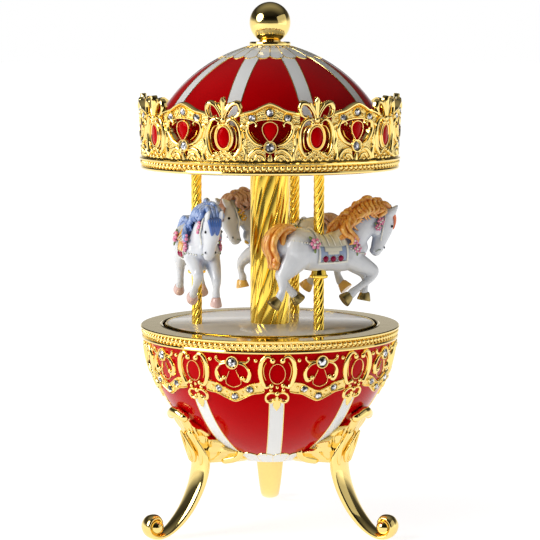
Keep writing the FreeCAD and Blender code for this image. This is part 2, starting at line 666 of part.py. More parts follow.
def top_bridge():
    """Two-armed plate that steadies the spindle over the barrel."""
    hub = rod(5.2, BRIDGE_LOW, BRIDGE_TOP)
    arms = []
    for angle in PILLAR_ANGLES:
        arms.append(turned(block(0, PILLAR_CIRCLE, -2.2, 2.2, BRIDGE_LOW, BRIDGE_TOP), angle))
        p = polar(PILLAR_CIRCLE, angle)
        arms.append(rod(2.8, BRIDGE_LOW, BRIDGE_TOP, p.x, p.y))
    plate = fused([hub] + arms).cut(rod(3.6, 50, 60))
    return plate.cut([rod(0.9, 50, 60, p.x, p.y) for p in (polar(PILLAR_CIRCLE, a) for a in PILLAR_ANGLES)])


def bridge_pillars():
    spots = [polar(PILLAR_CIRCLE, a) for a in PILLAR_ANGLES]
    return [rod(2.0, BED_TOP, BRIDGE_LOW, p.x, p.y).cut(rod(0.9, BRIDGE_LOW - 3, 60, p.x, p.y)) for p in spots]


def build():
    os.makedirs("parts", exist_ok=True)
    # standing parts
    save("bowl_shell", bowl_shell())
    save("bowl_rim", bowl_rim())
    save("key_well", key_well())
    for name, angle in LEG_ANGLES.items():
        save(name, leg(angle))
    save("leg_screws", *[leg_screw(angle) for angle in LEG_ANGLES.values()])
    save("bowl_crystals", *bowl_crystals())
    save("bedplate", bedplate())
    spots = [polar(BOSS_CIRCLE, a) for a in BOSS_ANGLES]
    save("bedplate_screws", *[pan_screw(p.x, p.y, BED_TOP, 5.0) for p in spots])
    save("arbor_bush", tube(3.4, ARBOR_R + RUN_GAP, BED_LOW, BARREL_LOW - 0.1))
    coils, tail = clutch_spring()
    save("clutch_spring", fused(coils + [tail]))
    save("cylinder_bracket_inner", bracket(15.0, 16.0, 2.3, 15.0))
    save("cylinder_bracket_outer", bracket(29.0, 30.2, 2.3, 23.0))
    save("music_comb", comb())
    save("comb_base", comb_base())
    save("comb_screws", *[pan_screw(x, COMB_SCREW_Y, CYLINDER_Z + 0.3, 4.0, head_r=1.6) for x in COMB_SCREW_X])
    save("governor_bracket", governor_bracket())
    save("governor_bearing", governor_jewel())
    save("top_bridge", top_bridge())
    save("bridge_pillars", *bridge_pillars())
    spots = [polar(PILLAR_CIRCLE, a) for a in PILLAR_ANGLES]
    save("bridge_screws", *[pan_screw(p.x, p.y, BRIDGE_TOP, 4.0, head_r=1.6) for p in spots])
    save("spindle_bush", tube(3.6, SPINDLE_R + RUN_GAP, BRIDGE_LOW - 0.4, BRIDGE_TOP + 0.4))
    # winding
    save("winding_arbor", winding_arbor())
    save("winding_key", winding_key())
    # cylinder
    save("music_cylinder", music_cylinder())
    save("cylinder_arbor", along_x(CYLINDER_ARBOR_R, 12.2, 30.2))
    save("cylinder_pinion", gear(PINION_TEETH, DRIVE_MODULE, 12.4, 13.6, 0.5, 0.75, 0.36, CYLINDER_ARBOR_R,
                                 first=270.0))
    save("cylinder_worm_wheel", gear(WORM_WHEEL_TEETH, WORM_MODULE, 16.4, 17.6, 0.35, 0.5, 0.36,
                                     CYLINDER_ARBOR_R))
    # governor
    save("governor_worm", governor_worm())
    save("governor_fan", governor_fan())
    # carousel
    save("barrel_drum", barrel_drum())
    save("barrel_cover", barrel_cover())
    save("mainspring", mainspring())
    save("carousel_spindle", carousel_spindle())
    save("platform_base", platform_base())
    save("platform_disc", platform_disc())
    save("centre_column", centre_column())
    save("tie_rod", rod(TIE_R, 66.0, 154.0))
    animal = horse()
    collar = rod(COLLAR_R, COLLAR_LOW, COLLAR_TOP).cut(rod(POLE_R, 60, 120)).cut(animal)
    for mane, (angle, heading) in HORSES.items():
        save(f"horse_{mane}_mane", placed_on_pole(animal, mane))
        save(f"pole_{mane}_horse", pole(polar(POLE_CIRCLE, angle)))
    save("horse_collars", *[placed_on_pole(collar, mane) for mane in HORSES])
    save("pole_nuts", *[pole_nut(p) for p in pole_spots()])
    save("ceiling_plate", ceiling_plate())
    save("canopy_rim", canopy_rim())
    save("crown_gallery", crown_gallery())
    save("crown_enamels", *crown_enamels())
    save("crown_crystals", *crown_crystals())
    save("canopy_dome", canopy_dome())
    save("finial_washer", finial_washer())
    save("finial_ball", finial_ball())


build()
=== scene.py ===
import json
import math
import random

import bmesh
import bpy
from mathutils import Matrix, Vector


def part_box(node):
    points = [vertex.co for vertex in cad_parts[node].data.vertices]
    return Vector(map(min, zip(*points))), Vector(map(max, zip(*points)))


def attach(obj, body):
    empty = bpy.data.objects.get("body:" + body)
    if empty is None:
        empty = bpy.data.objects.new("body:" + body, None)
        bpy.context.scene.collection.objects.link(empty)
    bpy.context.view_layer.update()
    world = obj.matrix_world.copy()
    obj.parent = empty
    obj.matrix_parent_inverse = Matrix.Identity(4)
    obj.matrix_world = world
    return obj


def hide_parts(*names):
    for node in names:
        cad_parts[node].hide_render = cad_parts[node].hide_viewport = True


bl_info = {
    "name": "Carousel Music Box",
    "version": (1, 0, 0),
    "blender": (4, 5, 0),
    "location": "View3D > Sidebar > Music Box",
    "description": "Enamelled musical carousel egg with a jewelled crown, jumping horses and scroll legs",
    "category": "Add Mesh",
}

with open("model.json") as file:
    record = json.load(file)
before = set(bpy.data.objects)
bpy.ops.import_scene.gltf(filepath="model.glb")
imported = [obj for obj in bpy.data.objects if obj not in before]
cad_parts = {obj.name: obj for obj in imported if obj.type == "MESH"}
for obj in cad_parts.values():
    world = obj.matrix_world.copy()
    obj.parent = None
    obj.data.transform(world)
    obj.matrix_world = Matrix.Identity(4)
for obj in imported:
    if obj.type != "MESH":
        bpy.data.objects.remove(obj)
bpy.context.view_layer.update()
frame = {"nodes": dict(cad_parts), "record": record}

MM = 0.001
FRONT = -90.0           # azimuth of the front, in degrees from +X
SECTORS = 9
SECTOR = 360.0 / SECTORS


def top_of(node):
    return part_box(node)[1].z / MM


def foot_of(node):
    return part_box(node)[0].z / MM


def reach_of(node):
    """Outer radius of a round node, in millimetres."""
    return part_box(node)[1].x / MM


def middle_of(node):
    low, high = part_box(node)
    return (low + high) / 2 / MM


# --- Sizes and colours a user can change ---------------------------------------------------------------------
class MusicBoxSizes(bpy.types.PropertyGroup):
    """Sizes of the ornament."""

    bead_count: bpy.props.IntProperty(
        name="Rim beads", description="Beads in the row round each rim", default=136, min=24)
    stripe_width: bpy.props.FloatProperty(
        name="Stripe width", description="Width of a white enamel stripe", default=4.3 * MM, unit="LENGTH")
    gold_line: bpy.props.FloatProperty(
        name="Gold line", description="Width of the gold wire between two enamels", default=0.3 * MM,
        unit="LENGTH")
    petals: bpy.props.IntProperty(
        name="Petals", description="White petals round the finial and round the bowl's foot", default=22, min=8)
    rope_strands: bpy.props.IntProperty(
        name="Rope strands", description="Strands in each twisted pole", default=6, min=2)
    column_flutes: bpy.props.IntProperty(
        name="Column flutes", description="Twisted flutes round the centre column", default=12, min=4)
    bowl_turn: bpy.props.FloatProperty(
        name="Bowl turn", description="How far the bowl's pattern is turned from the front",
        default=math.radians(3.3), subtype="ANGLE")


def colour_property(name, description, default):
    return bpy.props.FloatVectorProperty(
        name=name, description=description, default=default, size=3, min=0, max=1, subtype="COLOR")


class MusicBoxColours(bpy.types.PropertyGroup):
    """Colours of the metal, enamel and paint."""

    gold: colour_property("Gold", "Polished gold plate", (1.0, 0.76, 0.27))
    deep_gold: colour_property("Deep gold", "Warmer plate of the column and poles", (1.0, 0.69, 0.10))
    red: colour_property("Red enamel", "Translucent red enamel", (0.54, 0.0, 0.002))
    white: colour_property("White enamel", "Stripes and petals", (0.86, 0.86, 0.84))
    cream: colour_property("Platform", "Enamelled platform", (0.75, 0.69, 0.58))
    horse: colour_property("Horse", "Glazed body of the horses", (0.70, 0.71, 0.73))
    orange: colour_property("Orange hair", "Mane and tail of one horse", (0.64, 0.20, 0.012))
    blue: colour_property("Blue hair", "Mane and tail of one horse", (0.07, 0.15, 0.42))
    brown: colour_property("Brown hair", "Mane and tail of one horse", (0.40, 0.19, 0.12))


# --- Meshes --------------------------------------------------------------------------------------------------
def polar(radius, angle, z=0.0):
    """Point at a radius and an angle in degrees from +X."""
    return Vector((radius * math.cos(math.radians(angle)), radius * math.sin(math.radians(angle)), z))


def curve_through(points, steps=6, closed=False):
    """Smooth list of points through the given ones, which may have any number of parts."""
    count = len(points)
    if not closed and count < 3:
        return [tuple(p) for p in points]
    spans = count if closed else count - 1
    result = []
    for k in range(spans):
        if closed:
            a, b, c, d = (points[(k + j) % count] for j in (-1, 0, 1, 2))
        else:
            a, b, c, d = points[max(k - 1, 0)], points[k], points[k + 1], points[min(k + 2, count - 1)]
        for step in range(steps):
            t = step / steps
            result.append(tuple(
                0.5 * (2 * q + (r - p) * t + (2 * p - 5 * q + 4 * r - s) * t * t + (3 * q - p - 3 * r + s) * t**3)
                for p, q, r, s in zip(a, b, c, d)))
    if not closed:
        result.append(tuple(points[-1]))
    return result


class Shape:
    """Vertices in millimetres, and faces that each keep the number of their finish."""

    def __init__(self):
        self.verts, self.faces, self.finishes = [], [], []

    def add(self, verts, faces, finish=0):
        base = len(self.verts)
        self.verts += [Vector(v) for v in verts]
        self.faces += [[base + i for i in face] for face in faces]
        self.finishes += [finish] * len(faces)

    def rows(self, rows, finish=0, around=True, closed=False, caps=False):
        """Skin over rows of points. around joins each row's ends, closed joins the last row to the first."""
        width = len(rows[0])
        faces = []
        for i in range(len(rows) if closed else len(rows) - 1):
            upper = (i + 1) % len(rows)
            for j in range(width if around else width - 1):
                k = (j + 1) % width
                faces.append([i * width + j, i * width + k, upper * width + k, upper * width + j])
        if caps:
            faces.append(list(reversed(range(width))))
            faces.append([(len(rows) - 1) * width + j for j in range(width)])
        self.add([v for row in rows for v in row], faces, finish)

    def copy(self, other, matrix=None, finish=None):
        """Adds another shape, moved by a matrix."""
        verts = [matrix @ v for v in other.verts] if matrix else other.verts
        base = len(self.verts)
        self.verts += [v.copy() for v in verts]
        self.faces += [[base + i for i in face] for face in other.faces]
        self.finishes += [f if finish is None else finish for f in other.finishes]

    def around(self, count, first=0.0):
        """This shape repeated about the Z axis."""
        ring = Shape()
        for k in range(count):
            ring.copy(self, Matrix.Rotation(math.radians(first + 360.0 * k / count), 4, "Z"))
        return ring

    def piece(self, name, body, slot, finishes=(), sharp=35.0, replaces=()):
        """The Blender object, riding on a body. Without finishes it has the one of its slot."""
        mesh = bpy.data.meshes.new(name)
        mesh.from_pydata([v * MM for v in self.verts], [], self.faces)
        for finish in finishes or [kept(SLOT_FINISHES[slot])]:
            mesh.materials.append(finish)
        mesh.polygons.foreach_set("material_index", self.finishes)
        tidy = bmesh.new()
        tidy.from_mesh(mesh)
        bmesh.ops.remove_doubles(tidy, verts=tidy.verts, dist=1e-7)
        bmesh.ops.recalc_face_normals(tidy, faces=tidy.faces)
        tidy.to_mesh(mesh)
        tidy.free()
        mesh.polygons.foreach_set("use_smooth", [sharp > 0] * len(mesh.polygons))
        if sharp > 0:
            mesh.set_sharp_from_angle(angle=math.radians(sharp))
        thing = bpy.data.objects.new(name, mesh)
        bpy.context.scene.collection.objects.link(thing)
        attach(thing, body)
        if replaces:
            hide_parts(*replaces)
        return thing


def lathe(shape, outline, finish=0, steps=192, closed=True):
    """Surface turned about the Z axis from (radius, height) points."""
    rows = [[polar(r, 360.0 * j / steps, z) for j in range(steps)] for r, z in outline]
    shape.rows(rows, finish, closed=closed)


def ball(shape, centre, radius, finish=0, around=12, rings=7, stretch=(1, 1, 1), turn=None):
    """Ball or ellipsoid."""
    verts = [Vector((0, 0, -1)), Vector((0, 0, 1))]
    for i in range(1, rings):
        lift = math.pi * (i / rings - 0.5)
        verts += [Vector((math.cos(lift) * math.cos(2 * math.pi * j / around),
                          math.cos(lift) * math.sin(2 * math.pi * j / around), math.sin(lift)))
                  for j in range(around)]
    faces = []
    for j in range(around):
        k = (j + 1) % around
        faces.append([0, 2 + k, 2 + j])
        faces.append([1, 2 + (rings - 2) * around + j, 2 + (rings - 2) * around + k])
        for i in range(rings - 2):
            a, b = 2 + i * around, 2 + (i + 1) * around
            faces.append([a + j, a + k, b + k, b + j])
    spread = Matrix.Diagonal(Vector(stretch) * radius).to_3x3()
    if turn:
        spread = turn.to_3x3() @ spread
    shape.add([Vector(centre) + spread @ v for v in verts], faces, finish)


def bar(shape, path, radii, side=Vector((0, 1, 0)), finish=0, sides=14, section=None):
    """Bar along 3-D points. radii are (in the plane of the bend, along side) for each point, and the ends
    are rounded. section gives the outline as a function of the angle."""
    path = [Vector(p) for p in path]
    outline = section or (lambda angle: (math.cos(angle), math.sin(angle)))
    rows = []

    def ring(centre, along, a, b):
        across = (side - along * side.dot(along)).normalized()
        normal = along.cross(across)
        points = [outline(2 * math.pi * j / sides) for j in range(sides)]
        rows.append([centre + normal * (a * p) + across * (b * q) for p, q in points])

    for k, centre in enumerate(path):
        along = (path[min(k + 1, len(path) - 1)] - path[max(k - 1, 0)]).normalized()
        a, b = radii[k]
        if k == 0:
            for turn in (80, 50, 25):
                out = math.radians(turn)
                ring(centre - along * (min(a, b) * math.sin(out)), along, a * math.cos(out), b * math.cos(out))
        ring(centre, along, a, b)
        if k == len(path) - 1:
            for turn in (25, 50, 80):
                out = math.radians(turn)
                ring(centre + along * (min(a, b) * math.sin(out)), along, a * math.cos(out), b * math.cos(out))
    shape.rows(rows, finish, caps=True)


def smooth_bar(shape, stations, steps=5, **settings):
    """Bar through stations of (x, y, z, radius in the bend's plane, radius along side)."""
    full = curve_through(stations, steps)
    bar(shape, [s[:3] for s in full], [(max(s[3], 0.02), max(s[4], 0.02)) for s in full], **settings)


# --- Surfaces that carry relief ------------------------------------------------------------------------------
class Round:
    """Surface of revolution. Its pattern runs in u, millimetres along the girth, and s, which gives the
    radius and height."""

    def __init__(self, radius, height, outward=1):
        self.radius, self.height, self.outward = radius, height, outward

    def at(self, angle, u, s, lift=0.0):
        """Point at u millimetres from an azimuth, lifted off the surface."""
        r, z = self.radius(s), self.height(s)
        dr, dz = self.radius(s + 0.05) - r, self.height(s + 0.05) - z
        normal = Vector((dz, -dr)).normalized() * self.outward
        return polar(r + normal.x * lift, angle + math.degrees(u / r), z + normal.y * lift)

    def outward_at(self, angle, u, s):
        return (self.at(angle, u, s, 1.0) - self.at(angle, u, s)).normalized()


def relief(shape, surface, angle, path, widths, height, sink=0.25, finish=0, closed=False, steps=6, sides=6):
    """Rounded wire or scroll laid on a surface along (u, s) points, with a width at each of them."""
    if not isinstance(widths, (list, tuple)):
        widths = [widths] * len(path)
    full = curve_through([(*p, w) for p, w in zip(path, widths)], steps, closed)
    rows = []
    for k, (u, s, width) in enumerate(full):
        before = full[k - 1] if closed or k else full[0]
        after = full[(k + 1) % len(full)] if closed or k < len(full) - 1 else full[-1]
        along = Vector((after[0] - before[0], after[1] - before[1])).normalized()
        end = 0.35 if not closed and k in (0, len(full) - 1) else 1.0
        row = []
        for j in range(sides + 1):
            turn = math.pi * j / sides
            across = math.cos(turn) * width / 2 * end
            row.append(surface.at(angle, u - along.y * across, s + along.x * across,
                                  height * end * math.sin(turn) ** 0.8))
        row += [surface.at(angle, u + along.y * width / 2 * end, s - along.x * width / 2 * end, -sink),
                surface.at(angle, u - along.y * width / 2 * end, s + along.x * width / 2 * end, -sink)]
        rows.append(row)
    shape.rows(rows, finish, closed=closed, caps=not closed)


def mirrored(path):
    return [(-u, s) for u, s in path]


def whole(half):
    """Whole path from the half that ends on the middle line."""
    return half + mirrored(half[-2::-1])


def both_sides(shape, surface, angle, path, widths, height, **settings):
    for side in (path, mirrored(path)):
        relief(shape, surface, angle, side, widths, height, **settings)


def oval(half_u, half_s, u=0.0, s=0.0, count=16):
    return [(u + half_u * math.cos(2 * math.pi * k / count), s + half_s * math.sin(2 * math.pi * k / count))
            for k in range(count)]


def bead(shape, surface, angle, u, s, radius, lift=None):
    """Ball set into a surface on both sides of the pattern's middle, or once where u is 0."""
    lift = radius * 0.35 if lift is None else lift
    for place in (-u, u) if u else (0,):
        ball(shape, surface.at(angle, place, s, lift), radius, around=10, rings=6)


def cabochon(shape, surface, angle, outline, centre, height, base):
    """Domed enamel inside a closed outline of (u, s) points."""
    rings = 5
    rows = []
    for k in range(rings):
        share = 1 - k / rings
        lift = base + height * (1 - share * share) ** 0.5
        rows.append([surface.at(angle, centre[0] + (u - centre[0]) * share, centre[1] + (s - centre[1]) * share,
                                lift) for u, s in outline])
    skirt = [surface.at(angle, u, s, base - 0.5) for u, s in outline]
    shape.rows([skirt] + rows)
    tip = surface.at(angle, centre[0], centre[1], base + height)
    count = len(outline)
    shape.add(rows[-1] + [tip], [[j, (j + 1) % count, count] for j in range(count)])
    shape.add(skirt, [list(range(count))])


def stone(shape, centre, normal, radius, height, finish=0, sides=8):
    """Brilliant-cut stone: a table, two rings of facets and a girdle."""
    spin = normal.to_track_quat("Z", "Y").to_matrix()
    rings = [(0.98, 0.0, 0.0), (1.0, 0.25, 0.0), (0.74, 0.72, 0.5), (0.36, 1.0, 0.0)]
    rows = []
    for share, lift, shift in rings:
        rows.append([Vector(centre) + spin @ Vector((
            radius * share * math.cos(2 * math.pi * (j + shift) / sides),
            radius * share * math.sin(2 * math.pi * (j + shift) / sides), height * lift)) for j in range(sides)])
    shape.rows(rows[:2], finish)
    for lower, upper, ahead in ((rows[1], rows[2], 1), (rows[2], rows[3], 0)):
        faces = []
        for j in range(sides):
            k = (j + 1) % sides
            if ahead:
                faces += [[j, k, sides + j], [sides + j, k, sides + k]]
            else:
                faces += [[j, sides + k, sides + j], [j, k, sides + k]]
        shape.add(lower + upper, faces, finish)
    shape.add(rows[3], [list(range(sides))], finish)
    shape.add(rows[0], [list(reversed(range(sides)))], finish)


# --- Finishes ------------------------------------------------------------------------------------------------
class Value:
    """A shader socket that can be used in sums."""

    def __init__(self, tree, socket):
        self.tree, self.socket = tree, socket

    def _with(self, operation, first, second):
        node = self.tree.nodes.new("ShaderNodeMath")
        node.operation = operation
        for slot, value in enumerate((first, second)):
            if isinstance(value, Value):
                self.tree.links.new(value.socket, node.inputs[slot])
            else:
                node.inputs[slot].default_value = value
        return Value(self.tree, node.outputs[0])

    def __add__(self, other):
        return self._with("ADD", self, other)

    def __sub__(self, other):
        return self._with("SUBTRACT", self, other)

    def __rsub__(self, other):
        return self._with("SUBTRACT", other, self)

    def __mul__(self, other):
        return self._with("MULTIPLY", self, other)

    def __pow__(self, other):
        return self._with("POWER", self, other)

    __radd__, __rmul__ = __add__, __mul__

    def held(self):
        """Kept between 0 and 1."""
        return self._with("MINIMUM", self._with("MAXIMUM", self, 0.0), 1.0)


class Finish:
    """One material: a Principled shader with named constants, and nodes that vary it."""

    def __init__(self, name, **constants):
        self.material = bpy.data.materials.new(f"{name}_finish")
        self.material.use_nodes = True
        self.tree = self.material.node_tree
        self.shader = self.tree.nodes["Principled BSDF"]
        for key, value in constants.items():
            socket = self.shader.inputs[key.replace("_", " ")]
            socket.default_value = (*value, 1) if hasattr(value, "__len__") and len(value) == 3 else value

    def node(self, kind, settings=None, inputs=None, out=0):
        """Adds a node, sets it up, then links or fills its sockets, and gives back one output."""
        node = self.tree.nodes.new(kind)
        for key, value in (settings or {}).items():
            if key == "stops":
                ramp = node.color_ramp
                while len(ramp.elements) < len(value):
                    ramp.elements.new(0.5)
                for element, (place, colour) in zip(ramp.elements, value):
                    element.position, element.color = place, (*colour, 1)
            else:
                setattr(node, key, value)
        for key, value in (inputs or {}).items():
            if isinstance(value, Value):
                self.tree.links.new(value.socket, node.inputs[key])
            else:
                node.inputs[key].default_value = value
        return Value(self.tree, node.outputs[out])

    def feed(self, socket, value):
        self.tree.links.new(value.socket, self.shader.inputs[socket])

    def place(self):
        return self.node("ShaderNodeTexCoord", out="Object")

    def noise(self, scale, detail=2.0, stretch=None, rough=0.5):
        """Cloudy value about 0.5, with scale in cells per metre."""
        where = self.place()
        if stretch:
            where = self.node("ShaderNodeMapping", {}, {"Vector": where, "Scale": stretch})
        return self.node("ShaderNodeTexNoise", {"noise_dimensions": "3D"},
                         {"Vector": where, "Scale": scale, "Detail": detail, "Roughness": rough})

    def blend(self, factor, first, second):
        """Colour between two colours."""
        inputs = {"Factor": factor}
        for key, value in ((6, first), (7, second)):
            inputs[key] = value if isinstance(value, Value) else (*value, 1)
        return self.node("ShaderNodeMix", {"data_type": "RGBA"}, inputs, out=2)

    def bump(self, height, distance, strength=1.0):
        self.feed("Normal", self.node("ShaderNodeBump", {}, {
            "Height": height, "Distance": distance, "Strength": strength}))

    def hollows(self, distance, sharpness=1.0):
        """1 in hollows and 0 on open surfaces, from ambient occlusion: the mask of painted shade."""
        open_sky = self.node("ShaderNodeAmbientOcclusion", {"samples": 8}, {"Distance": distance}, out="AO")
        return (1 - open_sky).held() ** sharpness


def colours():
    return bpy.context.scene.music_box_colours


def shade(colour, factor):
    return tuple(min(1.0, c * factor) for c in colour)


def gold_finish(name, colour, roughness, waviness=0.25):
    finish = Finish(name, Metallic=1.0)
    cloud = finish.noise(900, 3.0)
    finish.feed("Base Color", finish.blend(cloud, shade(colour, 0.93), shade(colour, 1.0)))
    finish.feed("Roughness", (cloud * 0.06 + (roughness - 0.03)).held())
    finish.bump(finish.noise(260, 2.0), 0.0001, waviness)
    return finish.material


def polished_gold():
    return gold_finish("polished_gold", colours().gold, 0.09, 0.15)


def drawn_gold():
    return gold_finish("drawn_gold", colours().deep_gold, 0.12, 0.06)


def pearled_gold():
    """Gold between raised lines, with a fine punched grain."""
    finish = Finish("pearled_gold", Metallic=1.0)
    grain = finish.node("ShaderNodeTexVoronoi", {"feature": "F1"}, {"Vector": finish.place(), "Scale": 2600})
    finish.feed("Base Color", finish.blend(grain, shade(colours().gold, 0.75), shade(colours().gold, 1.0)))
    finish.feed("Roughness", (grain * 0.15 + 0.16).held())
    finish.bump(grain, 0.0002, 0.6)
    return finish.material


def enamel_finish(name, colour, depth, gloss=(1.0, 1.0, 1.0), roughness=0.06):
    """Glassy enamel. depth is how much darker it gets where it is thick, gloss is the colour of its sheen."""
    finish = Finish(name, Specular_Tint=gloss, Roughness=roughness, Specular_IOR_Level=0.22)
    cloud = finish.noise(140, 2.0)
    speck = finish.noise(2600, 1.0)
    finish.feed("Base Color", finish.blend((cloud * 0.7 + speck * 0.3).held(), shade(colour, depth), colour))
    finish.bump(finish.noise(180, 1.0), 0.00004, 0.35)
    return finish.material


def red_enamel():
    return enamel_finish("red_enamel", colours().red, 0.72, (1.0, 0.03, 0.03))


def white_enamel():
    return enamel_finish("white_enamel", colours().white, 0.90)


def platform_enamel():
    return enamel_finish("platform_enamel", colours().cream, 0.94, roughness=0.10)


def crystal():
    """Foil-backed cut glass, with painted highlights and painted dark reflections in random patches over its
    facets.
    """
    finish = Finish("crystal", Metallic=0.6, Roughness=0.04, Coat_Weight=1.0, Coat_Roughness=0.0)
    painted_glint = finish.node("ShaderNodeTexVoronoi", {"feature": "F1"}, {"Vector": finish.place(), "Scale": 1700}, out=1)
    painted_glint = finish.node("ShaderNodeSeparateColor", {}, {"Color": painted_glint})
    # Painted glints: each random patch is painted near-black or near-white, standing in for dark and bright
    # reflections.
    finish.feed("Base Color", finish.node("ShaderNodeValToRGB", {"stops": [
        (0.0, (0.02, 0.02, 0.025)), (0.35, (0.10, 0.10, 0.12)), (0.55, (0.38, 0.38, 0.42)),
        (0.8, (0.95, 0.95, 0.98))]}, {"Fac": painted_glint}))
    return finish.material


def glaze(name, colour, shade_colour, sheen=0.45, reach=0.0022, roughness=0.28):
    """Painted and glazed casting, with painted shade that darkens its hollows towards a shade colour, mixed with a
    little random tone.
    """
    finish = Finish(name, Coat_Weight=sheen, Coat_Roughness=0.08, Roughness=roughness)
    cloud = finish.noise(420, 3.0)
    # depth is painted shade: ambient occlusion in the hollows, with a little random tone from the cloud.
    depth = (finish.hollows(reach, 1.1) * 1.6 + (cloud - 0.5) * 0.5).held()
    finish.feed("Base Color", finish.blend(depth, colour, shade_colour))
    finish.bump(finish.noise(900, 2.0), 0.00006, 0.4)
    return finish.material


def horse_glaze():
    # The blue-grey (0.34, 0.40, 0.52) is painted shade in the horse's hollows.
    return glaze("horse_glaze", colours().horse, (0.34, 0.40, 0.52), reach=0.0035)


def hair(name, colour, light):
    """Painted hair: painted shade keeps the grooves in the deep colour, and the lighter strokes on the open locks
    are partly brush strokes and partly painted highlight.
    """
    finish = Finish(name, Coat_Weight=0.5, Coat_Roughness=0.12, Roughness=0.35)
    stroke = finish.noise(1100, 2.0, stretch=(1.0, 1.0, 0.45))
    # Painted shade: ambient occlusion keeps the lighter strokes and painted highlight out of the grooves.
    unshaded_part = (1 - finish.hollows(0.0016) * 2.4).held()
    finish.feed("Base Color", finish.blend((unshaded_part * ((stroke - 0.32) * 2.6)).held(), colour, light))
    finish.bump(stroke, 0.0001, 0.5)
    return finish.material


# Paint whose hollows are darkened by painted shade to a share of its own colour.
def paint(name, colour, shade_factor=0.55):
    return glaze(name, colour, shade(colour, shade_factor), reach=0.0008)


def turned_metal(name, colour, roughness, scale=1800):
    """Machined metal with fine turning lines."""
    finish = Finish(name, Metallic=1.0)
    lines = finish.noise(scale, 2.0, stretch=(1.0, 1.0, 6.0))
    finish.feed("Base Color", finish.blend(lines, shade(colour, 0.86), colour))
    finish.feed("Roughness", (lines * 0.12 + roughness - 0.06).held())
    finish.bump(lines, 0.00003, 0.4)
    return finish.material


def kept(maker, *details):
    """A finish, made once."""
    name = details[0] if details else maker.__name__
    return bpy.data.materials.get(f"{name}_finish") or maker(*details)


SLOT_FINISHES = {"gold": polished_gold, "red_enamel": red_enamel, "white_enamel": white_enamel, "crystal": crystal}


# --- Bowl ----------------------------------------------------------------------------------------------------
BOWL_TOP = top_of("bowl_shell")
BOWL_FOOT = foot_of("bowl_shell")
BOWL_R = reach_of("bowl_shell")
BOWL_EGG = 40.0         # depth of the full egg curve that the bowl is cut from
EGG_FULLNESS, EGG_FALL = 1.8, 0.59      # powers of the egg curve
SKIN = 0.18             # enamel on the cast bowl
STRIPE_TOP = 45.6


def bowl_radius(z):
    share = max(0.0, min(1.0, (BOWL_TOP - z) / BOWL_EGG))
    return BOWL_R * (1 - share**EGG_FULLNESS) ** EGG_FALL + SKIN


BOWL = Round(bowl_radius, lambda z: z)


def band(shape, surface, angle, low, high, half_width, lift, finish=0, steps=40, cross=4):
    """Strip of constant width up a surface, with its edges turned down."""
    rows = []
    for i in range(steps + 1):
        s = low + (high - low) * i / steps
        row = [surface.at(angle, -half_width, s, -0.1)]
        row += [surface.at(angle, half_width * (2 * j / cross - 1), s, lift) for j in range(cross + 1)]
        row.append(surface.at(angle, half_width, s, -0.1))
        rows.append(row)
    shape.rows(rows, finish, caps=True)


def stripes(white, wires, surface, first, low, high, wire_end, sizes):
    """White stripe up each sector of a surface, between two gold wires."""
    half, line = sizes.stripe_width / MM / 2, sizes.gold_line / MM
    for k in range(SECTORS):
        angle = first + SECTOR * k
        band(white, surface, angle, low, high, half, 0.10)
        for side in (-1, 1):
            path = [(side * half, low + (wire_end - low) * i / 12) for i in range(13)]
            relief(wires, surface, angle, path, line, 0.2, steps=3, sides=4)


def petal_ring(white, wires, surface, first, petals, foot, notch, scallop, wire):
    """White petals from foot to their scalloped tips, with a gold wire of (half width, height) along the tips.
    notch is where two petals meet, and scallop how far a tip reaches past it."""
    count = petals * 12
    angles = [first + 360.0 * j / count for j in range(count)]
    tips = [notch + scallop * abs(math.sin(math.pi * petals * j / count)) ** 0.7 for j in range(count)]
    rows = [[surface.at(angle, 0, foot + (tip - foot) * share, 0.14) for angle, tip in zip(angles, tips)]
            for share in (0.0, 0.25, 0.5, 0.75, 1.0)]
    rows.append([surface.at(angle, 0, tip, -0.1) for angle, tip in zip(angles, tips)])
    rows.append([surface.at(angle, 0, foot, -0.1) for angle in angles])
    white.rows(rows, closed=True)
    half, height = wire
    section = ((-half, 0.05), (-0.1, height), (0.1, height), (half, 0.0))
    wires.rows([[surface.at(angle, 0, tip + across, lift) for across, lift in section]
                for angle, tip in zip(angles, tips)], closed=True)


class MUSICBOX_OT_bowl(bpy.types.Operator):
    """Red enamel bowl with white stripes and a ring of white petals round its foot"""

    bl_idname = "music_box.bowl"
    bl_label = "Bowl"

    def execute(self, context):
        sizes = context.scene.music_box_sizes
        turn = FRONT + math.degrees(sizes.bowl_turn)
        skin = Shape()
        steps = 48
        heights = [BOWL_FOOT + (BOWL_TOP - BOWL_FOOT) * (k / steps) ** 1.4 for k in range(steps + 1)]
        outer = [(bowl_radius(z), z) for z in heights]
        inner = [(bowl_radius(z) - SKIN + 0.02, z) for z in reversed(heights)]
        lathe(skin, outer + inner)
        skin.piece("bowl_red_enamel", "base", "red_enamel")

        white, wires = Shape(), Shape()
        foot = BOWL_FOOT + 0.05
        stripes(white, wires, BOWL, turn, BOWL_FOOT + 2.6, STRIPE_TOP, STRIPE_TOP, sizes)
        petal_ring(white, wires, BOWL, turn, sizes.petals, foot, foot + 3.1, 0.75, (0.14, 0.22))
        vein = [(0.25, foot), (0.0, foot + 1.6), (-0.1, foot + 3.1)]
        for k in range(sizes.petals):
            relief(wires, BOWL, turn + 360.0 * k / sizes.petals, vein, sizes.gold_line / MM * 0.75, 0.22, steps=4,
                   sides=4)
        seat = bowl_radius(foot)
        lathe(wires, [(seat + 0.25, foot), (seat + 0.2, foot + 0.3), (seat - 0.3, foot + 0.3),
                      (seat - 0.5, foot - 0.1)])
        white.piece("bowl_white_enamel", "base", "white_enamel")
        wires.piece("bowl_gold_wires", "base", "gold")
        return {"FINISHED"}


